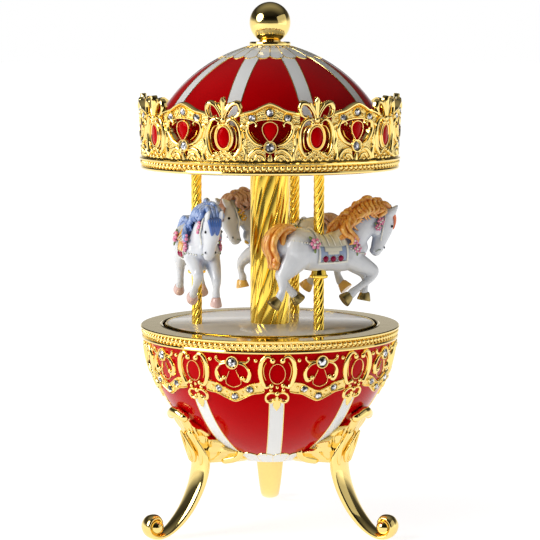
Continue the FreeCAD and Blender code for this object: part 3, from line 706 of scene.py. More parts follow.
def sheet(shape, surface, angle, upper, lower, lift, back, backs=(4, 0), steps=6):
    """Grained sheet between two (u, s) edges. Its back lies at the quarters in backs, at a lift of back."""
    rows = []
    for (u0, s0), (u1, s1) in zip(curve_through(upper, steps), curve_through(lower, steps)):
        rows.append([surface.at(angle, u0 + (u1 - u0) * k / 4, s0 + (s1 - s0) * k / 4, height)
                     for height, quarters in ((lift, range(5)), (back, backs)) for k in quarters])
    shape.rows(rows, GRAIN, caps=True)


GRAIN = 1               # second finish of a gold relief, between its raised lines
GARLAND_STONES = [(0, 46.7), (4.7, 49.0), (-4.7, 49.0)]


def bowl_oval_motif(gold, angle):
    """Oval between two C scrolls, with a pendant under it."""
    relief(gold, BOWL, angle, oval(2.3, 3.0, 0, 53.7), 0.34, 0.45, closed=True, steps=3, sides=5)
    both_sides(gold, BOWL, angle,
               [(1.6, 57.7), (2.2, 58.8), (3.5, 58.8), (4.7, 57.2), (5.1, 54.4), (4.6, 51.8), (3.4, 49.8),
                (2.1, 50.2)],
               [0.7, 1.0, 1.3, 1.5, 1.5, 1.4, 1.2, 0.8], 1.0)
    both_sides(gold, BOWL, angle, [(3.1, 57.4), (4.0, 55.6), (3.9, 53.4), (3.2, 51.6)], [0.2, 0.3, 0.3, 0.2], 0.5)
    both_sides(gold, BOWL, angle, [(0.5, 47.9), (2.0, 48.0), (3.2, 47.0), (3.0, 45.5), (1.6, 45.0), (0.5, 45.7)],
               [0.6, 0.8, 0.9, 1.0, 0.9, 0.6], 0.8)
    for place in ((1.45, 57.7, 0.9), (1.7, 50.2, 0.75), (1.8, 48.8, 0.6), (1.1, 45.8, 0.5), (0, 47.7, 0.8),
                  (0, 49.6, 0.55)):
        bead(gold, BOWL, angle, *place)
    relief(gold, BOWL, angle, [(0, 46.9), (0, 45.4), (0, 43.8), (0, 42.2)], [0.8, 1.6, 2.4, 0.2], 0.6)


def bowl_drop_motif(gold, angle):
    """Stone with scrolls, a pear-shaped drop and a garland."""
    relief(gold, BOWL, angle, oval(1.75, 1.75, 0, 57.0), 0.6, 0.95, closed=True, steps=3, sides=5)
    both_sides(gold, BOWL, angle,
               [(1.9, 56.9), (3.7, 56.3), (4.9, 54.6), (4.9, 52.9), (4.1, 51.7), (3.0, 52.0)],
               [0.6, 0.9, 1.15, 1.4, 1.5, 1.0], 0.95)
    both_sides(gold, BOWL, angle, [(2.0, 57.4), (3.9, 57.1), (5.0, 57.9), (5.1, 58.7)], [0.7, 0.9, 0.8, 0.6], 0.7)
    for place in ((2.8, 52.4, 0.75), (5.0, 58.4, 0.45), (7.0, 57.7, 0.65)):
        bead(gold, BOWL, angle, *place)
    relief(gold, BOWL, angle, whole([(0.95, 54.7), (1.7, 52.9), (2.3, 51.5), (2.0, 50.3), (0, 49.5)]), 0.3, 0.4,
           steps=4, sides=5)
    upper = whole([(8.9, 50.9), (7.4, 51.0), (5.0, 50.4), (2.6, 49.1), (0, 48.2)])
    lower = whole([(9.0, 48.3), (7.4, 47.9), (5.2, 47.5), (2.6, 46.2), (0, 45.2)])
    sheet(gold, BOWL, angle, upper, lower, 0.3, -0.1)
    relief(gold, BOWL, angle, upper, 0.5, 0.7, sides=5)
    relief(gold, BOWL, angle, lower, 0.5, 0.7, sides=5)
    for u, s in GARLAND_STONES:
        relief(gold, BOWL, angle, oval(1.2, 1.2, u, s, 12), 0.36, 0.7, closed=True, steps=2, sides=4)
    for place in ((6.7, 49.6, 0.45), (2.5, 47.9, 0.35), (2.0, 46.8, 0.3)):
        bead(gold, BOWL, angle, *place, lift=0.45)


class MUSICBOX_OT_bowl_relief(bpy.types.Operator):
    """Gold scrolls, garlands and stones round the bowl"""

    bl_idname = "music_box.bowl_relief"
    bl_label = "Bowl relief"

    def execute(self, context):
        turn = FRONT + math.degrees(context.scene.music_box_sizes.bowl_turn)
        gold, stones = Shape(), Shape()
        bowl_oval_motif(gold, turn)
        drop = turn + SECTOR / 2
        bowl_drop_motif(gold, drop)
        stone(stones, BOWL.at(drop, 0, 57.0, 0.1), BOWL.outward_at(drop, 0, 57.0), 1.5, 1.1)
        for u, s in GARLAND_STONES:
            stone(stones, BOWL.at(drop, u, s, 0.2), BOWL.outward_at(drop, u, s), 1.1, 0.9)
        gold.around(SECTORS).piece("bowl_scrolls", "base", "gold", [kept(polished_gold), kept(pearled_gold)])
        stones.around(SECTORS).piece("bowl_stones", "base", "crystal", sharp=0, replaces=["bowl_crystals"])
        return {"FINISHED"}


# --- Rims ----------------------------------------------------------------------------------------------------
RIM_BORE, CANOPY_BORE = 33.2, 36.4
BEAD_R, SMALL_BEAD_R = 0.74, 0.34


def beaded_rim(low, high, radius, bore, count):
    """Ring with a row of beads between a plain upper lip and a rounded lower one."""
    ring = Shape()
    groove, foot, head = radius - 1.25, low + 1.35, high - 0.95
    lathe(ring, [
        (bore, low + 0.2), (radius - 1.8, low), (radius - 0.95, low + 0.05), (radius - 0.45, low + 0.3),
        (radius - 0.3, low + 0.7), (radius - 0.5, foot - 0.2), (radius - 0.9, foot), (groove, foot + 0.05),
        (groove, head), (radius - 0.35, head), (radius, head + 0.25), (radius, high - 0.25), (radius - 0.3, high),
        (bore, high)], steps=256)
    main, small = Shape(), Shape()
    ball(main, (radius - 0.85, 0, (foot + head) / 2 + 0.15), BEAD_R, around=10, rings=6,
         stretch=(0.82, 0.98, 1.08))
    ball(small, (radius - 0.95, 0, foot + 0.15), SMALL_BEAD_R, around=8, rings=5)
    ring.copy(main.around(count))
    ring.copy(small.around(count, 180.0 / count))
    return ring


class MUSICBOX_OT_rims(bpy.types.Operator):
    """Beaded rims of the bowl and of the canopy"""

    bl_idname = "music_box.rims"
    bl_label = "Beaded rims"

    def execute(self, context):
        count = context.scene.music_box_sizes.bead_count
        low, high = BOWL_TOP + 0.05, top_of("bowl_rim")
        ring = beaded_rim(low, high, reach_of("bowl_rim"), RIM_BORE, count)
        lathe(ring, [(RIM_BORE, high), (RIM_BORE, high + 0.01), (RIM_BORE + 0.4, high + 0.16),
                     (RIM_BORE + 0.8, high + 0.01)])
        ring.piece("bowl_rim_ring", "base", "gold", replaces=["bowl_rim"])
        low, high = foot_of("canopy_rim"), top_of("canopy_rim")
        ring = beaded_rim(low, high, reach_of("canopy_rim"), CANOPY_BORE, count)
        ring.piece("canopy_rim_ring", "carousel", "gold", replaces=["canopy_rim"])
        return {"FINISHED"}


# --- Legs ----------------------------------------------------------------------------------------------------
LEGS = {"leg_left": -150.0, "leg_right": -30.0, "leg_back": 90.0}


def along_steps(steps, value):
    """Value read off a list of (place, value) corners."""
    for (a, first), (b, second) in zip(steps, steps[1:]):
        if value <= b:
            return first + (second - first) * max(0.0, value - a) / (b - a)
    return steps[-1][1]


LEAF_HUB = 20.5         # height that the leaf's flutes fan out from
LEAF_LOW, LEAF_TALL, LEAF_ROWS = 22.4, 16.2, 60
LEAF_EDGE = [(22.4, 4.2), (23.6, 6.6), (25.2, 8.3), (28.0, 7.4), (31.0, 6.6), (34.5, 5.2), (38.6, 3.4)]
LEAF_CREST = [(22.0, 26.2), (25.0, 26.4), (28.0, 27.3), (31.0, 29.0), (34.0, 31.0), (36.5, 32.6), (38.8, 33.8)]


def leaf_flute(y, z):
    """1 on a flute's ridge and 0 in the valleys that end in the notches of the leaf's edge."""
    return math.sin(math.pi * math.degrees(math.atan2(abs(y), z - LEAF_HUB)) / 15.0) ** 2


def leg_leaf(shape):
    """Leaf that spreads over the bowl, fluted from the stem to its thick scalloped edge."""
    rows, across = [], 40
    for i in range(LEAF_ROWS + 1):
        z = LEAF_LOW + LEAF_TALL * i / LEAF_ROWS
        plain = along_steps(LEAF_EDGE, z)
        half = plain + 1.15 * leaf_flute(plain, z) ** 0.5
        seat = bowl_radius(max(z, BOWL_FOOT + 0.3))
        rise = along_steps(LEAF_CREST, z) - seat
        row = []
        for j in range(across + 1):
            t = 2 * j / across - 1
            y = t * half
            base = math.sqrt(max(seat * seat - y * y, 1.0))
            crest = (1 - abs(t) ** 1.5) ** 1.2
            x = base + 2.3 + (rise - 2.3) * crest + 0.95 * (leaf_flute(y, z) - 0.4) * min(1.0, abs(t) * 1.6)
            row.append(Vector((x, y, z)))
        for side in (1, -1):
            edge = [Vector((base + 1.3, side * half * 1.02, z)), Vector((base - 0.4, side * half * 0.92, z))]
            row += edge[::side]
        rows.append(row)
    shape.rows(rows, caps=True)


def leg_shape():
    """One leg in its own plane: X outward, Z up."""
    leg = Shape()
    leg_leaf(leg)

    def flat_backed(angle):
        c, s = math.cos(angle), math.sin(angle)
        return (c if c < 0 else c * 0.55), s

    stations = [(28.6, 0, 31.5, 2.4, 3.4), (26.6, 0, 28.0, 2.6, 4.3), (25.0, 0, 24.6, 2.6, 4.9),
                (24.9, 0, 21.2, 2.6, 4.8), (25.8, 0, 17.0, 2.5, 4.5), (27.4, 0, 13.0, 2.4, 4.15),
                (29.9, 0, 8.6, 2.2, 3.75), (33.0, 0, 4.9, 1.9, 3.35), (36.2, 0, 2.3, 1.45, 3.0),
                (39.6, 0, 1.25, 1.2, 2.8), (42.3, 0, 2.3, 1.1, 2.7), (43.2, 0, 4.6, 1.0, 2.6),
                (42.0, 0, 6.6, 1.0, 2.4), (39.8, 0, 6.9, 0.9, 2.1), (38.6, 0, 5.6, 0.75, 1.7)]
    smooth_bar(leg, stations, steps=7, sides=28, section=flat_backed)
    ball(leg, (40.3, 0, 4.1), 2.6, around=24, rings=14, stretch=(1, 1.2, 1))
    # roll at the leaf's tip
    smooth_bar(leg, [(32.6, -3.3, 37.9, 1.5, 1.5), (32.9, -1.5, 38.5, 1.7, 1.7), (33.0, 0, 38.6, 1.75, 1.75),
                     (32.9, 1.5, 38.5, 1.7, 1.7), (32.6, 3.3, 37.9, 1.5, 1.5)],
               side=Vector((0, 0, 1)), sides=16)
    # drop in the leaf's middle, between two ridges
    smooth_bar(leg, [(29.6, 0, 29.6, 0.25, 0.2), (28.6, 0, 27.4, 0.7, 0.6), (28.0, 0, 25.4, 0.85, 1.0),
                     (27.7, 0, 24.0, 0.5, 0.6)], sides=12)
    for side in (-1, 1):
        ball(leg, (32.2, side * 3.8, 37.6), 1.6, around=16, rings=10)
        smooth_bar(leg, [(31.2, 0.3 * side, 32.6, 0.3, 0.3), (29.2, side * 1.5, 28.6, 0.55, 0.45),
                         (27.8, side * 1.8, 25.6, 0.7, 0.6), (27.3, side * 1.4, 23.4, 0.55, 0.5)], sides=10)
        smooth_bar(leg, [(29.2, side * 3.3, 32.4, 0.3, 0.3), (26.9, side * 3.4, 27.8, 0.7, 0.6),
                         (26.0, side * 3.2, 24.6, 0.8, 0.7), (25.9, side * 2.9, 22.6, 0.6, 0.55)], sides=10)
        # curled side tip
        seat = bowl_radius(25.0)
        x = math.sqrt(seat * seat - 64)
        smooth_bar(leg, [(x + 3.9, side * 4.4, 23.2, 1.2, 1.3), (x + 2.6, side * 6.4, 23.8, 1.3, 1.2),
                         (x + 1.6, side * 8.2, 24.6, 1.25, 1.15), (x + 1.3, side * 9.3, 26.0, 1.15, 1.1),
                         (x + 1.5, side * 9.1, 27.6, 0.8, 0.9)], side=Vector((1, 0, 0)), sides=12)
    return leg


class MUSICBOX_OT_legs(bpy.types.Operator):
    """Three cast scroll legs with acanthus leaves"""

    bl_idname = "music_box.legs"
    bl_label = "Legs"

    def execute(self, context):
        leg = leg_shape()
        for name, angle in LEGS.items():
            one = Shape()
            one.copy(leg, Matrix.Rotation(math.radians(angle), 4, "Z"))
            for vert in one.verts:
                vert.z = max(vert.z, 0.0)
            one.piece(f"{name}_casting", "base", "gold", sharp=60, replaces=[name])
        return {"FINISHED"}


# --- Platform, column and poles ------------------------------------------------------------------------------
class MUSICBOX_OT_platform(bpy.types.Operator):
    """Enamelled platform that the horses stand over"""

    bl_idname = "music_box.platform"
    bl_label = "Platform"

    def execute(self, context):
        top, low = top_of("platform_disc"), foot_of("platform_disc")
        radius = reach_of("platform_disc")
        disc, edge = Shape(), Shape()
        lathe(disc, [(2.6, low), (radius - 0.1, low), (radius - 0.1, top - 0.35), (radius - 0.25, top - 0.12),
                     (radius - 0.6, top), (2.6, top)])
        lathe(edge, [(radius, low), (radius + 0.25, low + 0.2), (radius + 0.25, top - 0.15), (radius + 0.1, top),
                     (radius - 0.2, top + 0.04), (radius - 0.3, top - 0.3)])
        disc.piece("platform_enamel", "carousel", "white_enamel", [kept(platform_enamel)],
                   replaces=["platform_disc"])
        edge.piece("platform_edge", "carousel", "gold", [kept(drawn_gold)])
        return {"FINISHED"}


def twisted(shape, low, high, twist, radius_at, sides, centre=(0.0, 0.0), rows_per_mm=2.0):
    """Upright bar whose section turns with height. twist is in degrees per millimetre."""
    count = int((high - low) * rows_per_mm)
    rows = []
    for i in range(count + 1):
        z = low + (high - low) * i / count
        rows.append([polar(radius_at(360.0 * j / sides), 360.0 * j / sides + twist * (z - low), z)
                     + Vector((*centre, 0)) for j in range(sides)])
    shape.rows(rows, caps=True)


def fluted(radius, depth, count, power):
    """Radius at an angle of a section with round flutes."""
    return lambda angle: radius - depth + depth * abs(math.sin(math.radians(angle * count / 2))) ** power


COLUMN_LEAN = 19        # degrees that the column's flutes lean from upright
STRING_PITCH = 0.62     # between the fine beads in the flutes
ROPE_R = 1.62
ROPE_PITCH = 15.5       # height in which a pole's strands turn once
TENON_R = 1.0


class MUSICBOX_OT_column(bpy.types.Operator):
    """Twisted and fluted centre column with strings of fine beads"""

    bl_idname = "music_box.column"
    bl_label = "Centre column"

    def execute(self, context):
        flutes = context.scene.music_box_sizes.column_flutes
        low, high = foot_of("centre_column"), top_of("centre_column")
        radius = reach_of("centre_column")
        twist = math.degrees(math.tan(math.radians(COLUMN_LEAN)) / radius)
        column, string = Shape(), Shape()
        twisted(column, low, high, twist, fluted(radius, 0.35, flutes, 0.3), flutes * 14)
        for i in range(int((high - low) / STRING_PITCH)):
            z = low + STRING_PITCH * (i + 0.5)
            ball(string, polar(radius - 0.3, twist * (z - low), z), 0.25, around=6, rings=4)
        column.copy(string.around(flutes // 2))
        column.piece("column_twist", "carousel", "gold", [kept(drawn_gold)], replaces=["centre_column"])
        return {"FINISHED"}


HORSES = {"blue": -78.0, "gold": 28.0, "brown": 152.0}       # heading of each horse, in degrees
HEAD_TURNS = {"blue": (6.0, 0.0), "gold": (0.0, 0.0), "brown": (64.0, 2.0)}    # its head's turn and reach


class MUSICBOX_OT_poles(bpy.types.Operator):
    """Rope-twist poles and the collars under the horses"""

    bl_idname = "music_box.poles"
    bl_label = "Poles"

    def execute(self, context):
        strands = context.scene.music_box_sizes.rope_strands
        section = fluted(ROPE_R, 0.32, strands, 0.6)
        ceiling = foot_of("ceiling_plate")
        low, high = foot_of("horse_collars"), top_of("horse_collars")
        collars = Shape()
        for mane in HORSES:
            node = f"pole_{mane}_horse"
            spot = middle_of(node)
            rope, collar = Shape(), Shape()
            twisted(rope, top_of("platform_disc"), ceiling, 360.0 / ROPE_PITCH, section, strands * 10,
                    centre=(spot.x, spot.y), rows_per_mm=3.0)
            for end, reach in ((foot_of(node), 2.6), (ceiling - 0.2, 3.5)):
                tenon = Shape()
                lathe(tenon, [(0.0, end), (TENON_R, end), (TENON_R, end + reach), (0.0, end + reach)], steps=24,
                      closed=False)
                rope.copy(tenon, Matrix.Translation((spot.x, spot.y, 0)))
            rope.piece(f"{node}_rope", "carousel", "gold", [kept(drawn_gold)], replaces=[node])
            lathe(collar, [(1.5, low + 0.2), (2.3, low), (2.75, low + 0.25), (2.8, low + 0.8), (2.4, low + 1.1),
                           (2.0, high + 1.0), (1.5, high + 1.0)], steps=48)
            collars.copy(collar, Matrix.Translation((spot.x, spot.y, 0)))
        collars.piece("pole_collars", "carousel", "gold", [kept(drawn_gold)], replaces=["horse_collars"])
        return {"FINISHED"}


# --- Horses --------------------------------------------------------------------------------------------------
# A horse faces +X with its pole on the Z axis. Its right side, at -Y, faces outward.
NEAR, FAR = -2.75, 2.75


def horse_body():
    """Bars that are melted together into one casting."""
    body = Shape()
    smooth_bar(body, [(-12.4, 0, 89.4, 3.4, 3.6), (-9.6, 0, 89.2, 5.6, 5.1), (-6.0, 0, 88.8, 6.1, 5.6),
                      (-1.8, 0, 87.1, 5.3, 5.1), (3.0, 0, 86.6, 5.0, 4.9), (8.0, 0, 87.0, 5.8, 5.3),
                      (11.6, 0, 87.6, 5.0, 4.5), (13.8, 0, 88.4, 3.0, 2.9)], sides=20)
    smooth_bar(body, [(7.0, 0, 88.0, 4.9, 4.2), (10.6, 0, 91.0, 5.0, 3.8), (14.6, 0, 94.6, 4.6, 3.2),
                      (18.2, -0.1, 97.2, 3.8, 2.6), (21.2, -0.2, 98.2, 2.8, 2.3)], sides=18)
    # head: brow, cheek, nose and lips
    smooth_bar(body, [(22.4, -0.3, 98.8, 2.3, 2.0), (22.4, -0.3, 96.4, 3.3, 2.6), (21.9, -0.4, 93.4, 3.3, 2.5),
                      (20.9, -0.5, 90.4, 2.5, 2.0), (20.0, -0.6, 88.2, 2.1, 1.85), (19.5, -0.6, 86.9, 1.7, 1.6)],
               sides=18)
    ball(body, (19.4, -0.35, 94.6), 3.0, stretch=(1, 0.9, 1.05), around=16, rings=10)
    ball(body, (18.7, -0.6, 87.1), 1.25, stretch=(1.0, 1.2, 0.8), around=14, rings=9)
    ball(body, (20.9, -0.6, 87.7), 1.2, stretch=(0.9, 1.35, 1.0), around=14, rings=9)
    for side in (-1, 1):
        ball(body, (9.4, side * 2.9, 86.6), 3.5, stretch=(1, 0.75, 1.3), around=16, rings=10)
        ball(body, (-8.6, side * 2.7, 88.4), 4.7, stretch=(1, 0.75, 1.15), around=16, rings=10)
        ball(body, (23.7, side * 1.85 - 0.3, 94.5), 0.95, stretch=(1, 0.8, 0.75), around=12, rings=8)
        ball(body, (19.2, side * 1.9 - 0.35, 93.6), 1.9, stretch=(1, 0.6, 1), around=14, rings=9)
    legs = [
        [(8.6, NEAR, 85.8, 3.5, 2.8), (12.6, NEAR, 83.8, 2.9, 2.4), (15.8, NEAR, 82.2, 2.2, 1.9),
         (17.4, NEAR, 80.9, 1.8, 1.65), (15.8, NEAR, 78.6, 1.3, 1.25), (12.6, NEAR, 76.6, 1.05, 1.05),
         (10.2, NEAR, 75.0, 1.35, 1.3), (9.4, NEAR, 74.2, 1.3, 1.3)],
        [(9.5, FAR, 85.8, 3.3, 2.6), (13.8, FAR, 82.8, 2.6, 2.2), (17.0, FAR, 80.4, 1.9, 1.7),
         (18.0, FAR, 78.6, 1.5, 1.45), (17.9, FAR, 76.6, 1.05, 1.05), (17.3, FAR, 74.9, 1.35, 1.3),
         (17.4, FAR, 74.0, 1.3, 1.3)],
        [(-8.8, NEAR, 87.0, 4.9, 3.2), (-11.6, NEAR, 83.6, 3.4, 2.6), (-13.8, NEAR, 80.8, 2.0, 1.7),
         (-13.9, NEAR, 79.0, 1.45, 1.35), (-13.9, NEAR, 77.0, 1.1, 1.1), (-14.8, NEAR, 74.9, 1.35, 1.3),
         (-15.3, NEAR, 74.2, 1.3, 1.3)],
        [(-7.8, FAR, 87.0, 4.8, 3.1), (-9.6, FAR, 83.0, 3.2, 2.4), (-11.4, FAR, 80.6, 1.9, 1.7),
         (-10.6, FAR, 78.8, 1.45, 1.35), (-8.9, FAR, 76.8, 1.1, 1.1), (-7.4, FAR, 75.2, 1.35, 1.3),
         (-6.9, FAR, 74.6, 1.3, 1.3)],
    ]
    for stations in legs:
        smooth_bar(body, stations, sides=14)
    for side in (-1, 1):
        ear = [(22.8, side * 1.5 - 0.3, 97.4), (24.4, side * 2.1 - 0.3, 99.0), (26.0, side * 2.0 - 0.3, 100.5)]
        bar(body, ear, [(1.2, 0.9), (1.45, 0.75), (0.5, 0.45)], sides=10)
    return body


def melted(shape, voxel, rounds):
    """The shape remeshed into one smooth skin."""
    mesh = bpy.data.meshes.new("melt")
    mesh.from_pydata([v * MM for v in shape.verts], [], shape.faces)
    thing = bpy.data.objects.new("melt", mesh)
    bpy.context.scene.collection.objects.link(thing)
    remesh = thing.modifiers.new("remesh", "REMESH")
    remesh.mode = "VOXEL"
    remesh.voxel_size = voxel * MM
    soften = thing.modifiers.new("soften", "SMOOTH")
    soften.iterations, soften.factor = rounds, 0.5
    result = bpy.data.meshes.new_from_object(thing.evaluated_get(bpy.context.evaluated_depsgraph_get()))
    skin = Shape()
    skin.add([v.co / MM for v in result.vertices], [list(p.vertices) for p in result.polygons])
    bpy.data.objects.remove(thing)
    for used in (mesh, result):
        bpy.data.meshes.remove(used)
    return skin


def lock(shape, points, width, thick, finish, side=Vector((0, 1, 0))):
    """Tapered lock of hair through (x, y, z) points."""
    count = len(points)
    stations = []
    for k, point in enumerate(points):
        taper = math.sin(math.pi * (0.22 + 0.76 * k / (count - 1))) ** 0.8
        stations.append((*point, width * taper, thick * taper))
    smooth_bar(shape, stations, steps=5, side=side, finish=finish, sides=9)


# Finishes of a horse's faces, in the order of horse_paints.
BODY, HAIR, HOOF, SEAT, CLOTH, TRIM, PETAL, GREEN, RUBY, EYE, ORNAMENT = range(11)


def horse_mane(shape, dice):
    """Wavy locks from the crest of the neck down both sides, and a forelock."""
    crest = curve_through([(7.0, 94.4), (9.6, 97.6), (13.0, 100.2), (17.0, 101.9), (21.2, 101.2)], 3)
    for k, (x, z) in enumerate(crest):
        ball(shape, (x - 0.2, 0.3 * math.sin(k * 2.1), z - 0.7), 1.45, HAIR, around=12, rings=8,
             stretch=(1.2, 0.95, 1.0))
        lift = 1.1 + 0.5 * math.sin(k * 2.3)
        lock(shape, [(x + 0.9, 0.6 * math.sin(k * 1.7), z - 0.6), (x + 0.2, 0.7 * math.cos(k), z + lift * 0.7),
                     (x - 1.3, -0.5 * math.cos(k), z + lift * 0.6), (x - 2.4, 0.4 * math.sin(k), z - 1.0)], 0.95,
             0.85, HAIR)
        for side in (-1, 1):
            fall = 3.9 + dice.uniform(-0.7, 0.9)
            back = 1.9 + dice.uniform(-0.5, 0.6)
            out = 3.7 - 0.07 * k
            curl = 0.9 + 0.4 * math.sin(k * 1.3)
            lock(shape, [(x + 0.3, side * 0.3, z + 0.6), (x - 0.5, side * out * 0.8, z - fall * 0.15),
                         (x - back * 0.3 + curl * 0.6, side * (out + 0.25), z - fall * 0.5),
                         (x - back - curl * 0.5, side * (out + 0.35), z - fall * 0.85),
                         (x - back * 0.8 + curl, side * (out + 0.2), z - fall * 1.2)], 0.8, 0.85, HAIR)
    # curling lock that ends over the shoulder
    for side in (-1, 1):
        for shift in (0.0, 1.5):
            lock(shape, [(7.8 + shift, side * 2.6, 96.4 + shift), (6.2 + shift, side * 4.0, 94.8 + shift * 0.6),
                         (6.6 + shift, side * 4.9, 92.9 + shift * 0.6), (8.4 + shift, side * 5.3, 91.8),
                         (8.6 + shift, side * 5.3, 90.3), (7.4 + shift, side * 5.4, 89.8)], 0.85, 0.85, HAIR)
    for side in (-1, 0, 1):
        lock(shape, [(20.2, side * 0.9 - 0.3, 101.6), (22.4, side * 1.3 - 0.3, 101.2),
                     (24.2, side * 1.2 - 0.3, 99.4), (24.6, side * 0.7 - 0.3, 97.2)], 0.85, 0.85, HAIR)


def horse_tail(shape, dice):
    """Full tail that arches up from the root and parts into curls."""
    for k in range(7):
        spread = (k - 3) / 3
        y = spread * 2.3
        reach = 1.0 + dice.uniform(-0.05, 0.05)
        lift = dice.uniform(-0.6, 0.8)
        curl = -1.3 if k % 2 else 1.2
        lock(shape, [(-8.2, y * 0.3, 92.6), (-9.6, y * 0.5, 94.9 + lift * 0.3), (-12.6 * reach, y * 0.8, 95.4),
                     (-15.9 * reach, y, 93.0), (-16.9 * reach, y * 1.2, 89.8), (-15.8 * reach, y * 1.25, 87.0),
                     (-15.6 + curl * 0.4, y * 1.1, 84.9 + lift), (-14.6 + curl, y, 83.2 + lift)], 1.05, 0.95, HAIR)
    for k in range(5):
        y = (k - 2) * 1.15
        curl = 0.8 if k % 2 else -0.6
        lock(shape, [(-8.4, y * 0.3, 92.4), (-10.2, y * 0.5, 94.2), (-12.8, y * 0.8, 93.4), (-13.4, y, 90.6),
                     (-12.2 - curl * 0.4, y * 1.2, 88.0), (-10.6, y * 1.4, 86.4), (-9.6 + curl, y * 1.5, 84.6),
                     (-8.8 + curl, y * 1.5, 83.0)], 0.95, 0.85, HAIR)
    for x, y, z in ((-15.6, -1.9, 84.3), (-15.2, 1.5, 84.0), (-13.0, -0.8, 82.6), (-14.9, -0.2, 85.6),
                    (-12.2, 1.2, 83.6)):
        ball(shape, (x, y, z), 1.3, HAIR, around=12, rings=8, stretch=(1, 1, 1.1))


def over_back(x, turn, lift):
    """Point over the trunk, at turn degrees from straight up towards +Y."""
    swell = 0.022 * (x - 3.0) ** 2
    middle = 86.8 + 0.013 * (x - 2.0) ** 2
    side, rise = 5.05 + swell * 0.25, 5.1 + swell * 0.45
    angle = math.radians(turn)
    return Vector((x, (side + lift) * math.sin(angle), middle + (rise + lift) * math.cos(angle)))


def wrap(shape, xs, turns, lift, finish, raised=None):
    """Sheet laid over the back between two x lines and two turns, with thickness."""
    cols, rows_n = 14, 24
    rows = []
    for i in range(rows_n + 1):
        turn = turns[0] + (turns[1] - turns[0]) * i / rows_n
        row = []
        for j in range(cols + 1):
            share = j / cols
            x = xs[0] + (xs[1] - xs[0]) * share
            extra = raised(share, i / rows_n) if raised else 0.0
            row.append(over_back(x, turn, lift + extra))
        row += [over_back(xs[1], turn, lift - 0.9), over_back(xs[0], turn, lift - 0.9)]
        rows.append(row)
    shape.rows(rows, finish, caps=True)


def string_of(shape, points, radius, finish, pitch):
    """Row of little beads along a curve."""
    path = [Vector(p) for p in curve_through(points, 10)]
    walked = 0.0
    for a, b in zip(path, path[1:]):
        walked += (b - a).length
        if walked >= pitch:
            walked = 0.0
            ball(shape, b, radius, finish, around=7, rings=5)


def blossom(shape, centre, outward, radius, leaves):
    """Painted flower: a heart with a ring of petals, and leaves beside it."""
    spin = outward.to_track_quat("Z", "Y").to_matrix()
    for ring, count, size in ((0.95, 6, 0.5), (0.45, 4, 0.42)):
        for k in range(count):
            angle = 2 * math.pi * (k + ring) / count
            spot = Vector(centre) + spin @ polar(radius * ring, math.degrees(angle), radius * (0.55 - 0.5 * ring))
            ball(shape, spot, radius * size, PETAL if k % 2 or ring > 0.9 else TRIM, around=8, rings=5)
    for k in range(leaves):
        angle = 2.2 + 2.4 * k
        spot = Vector(centre) + spin @ polar(radius * 1.6, math.degrees(angle), -0.1)
        turn = spin @ Matrix.Rotation(angle, 3, "Z")
        ball(shape, spot, radius * 0.62, GREEN, around=8, rings=5, stretch=(1.25, 0.6, 0.45), turn=turn)


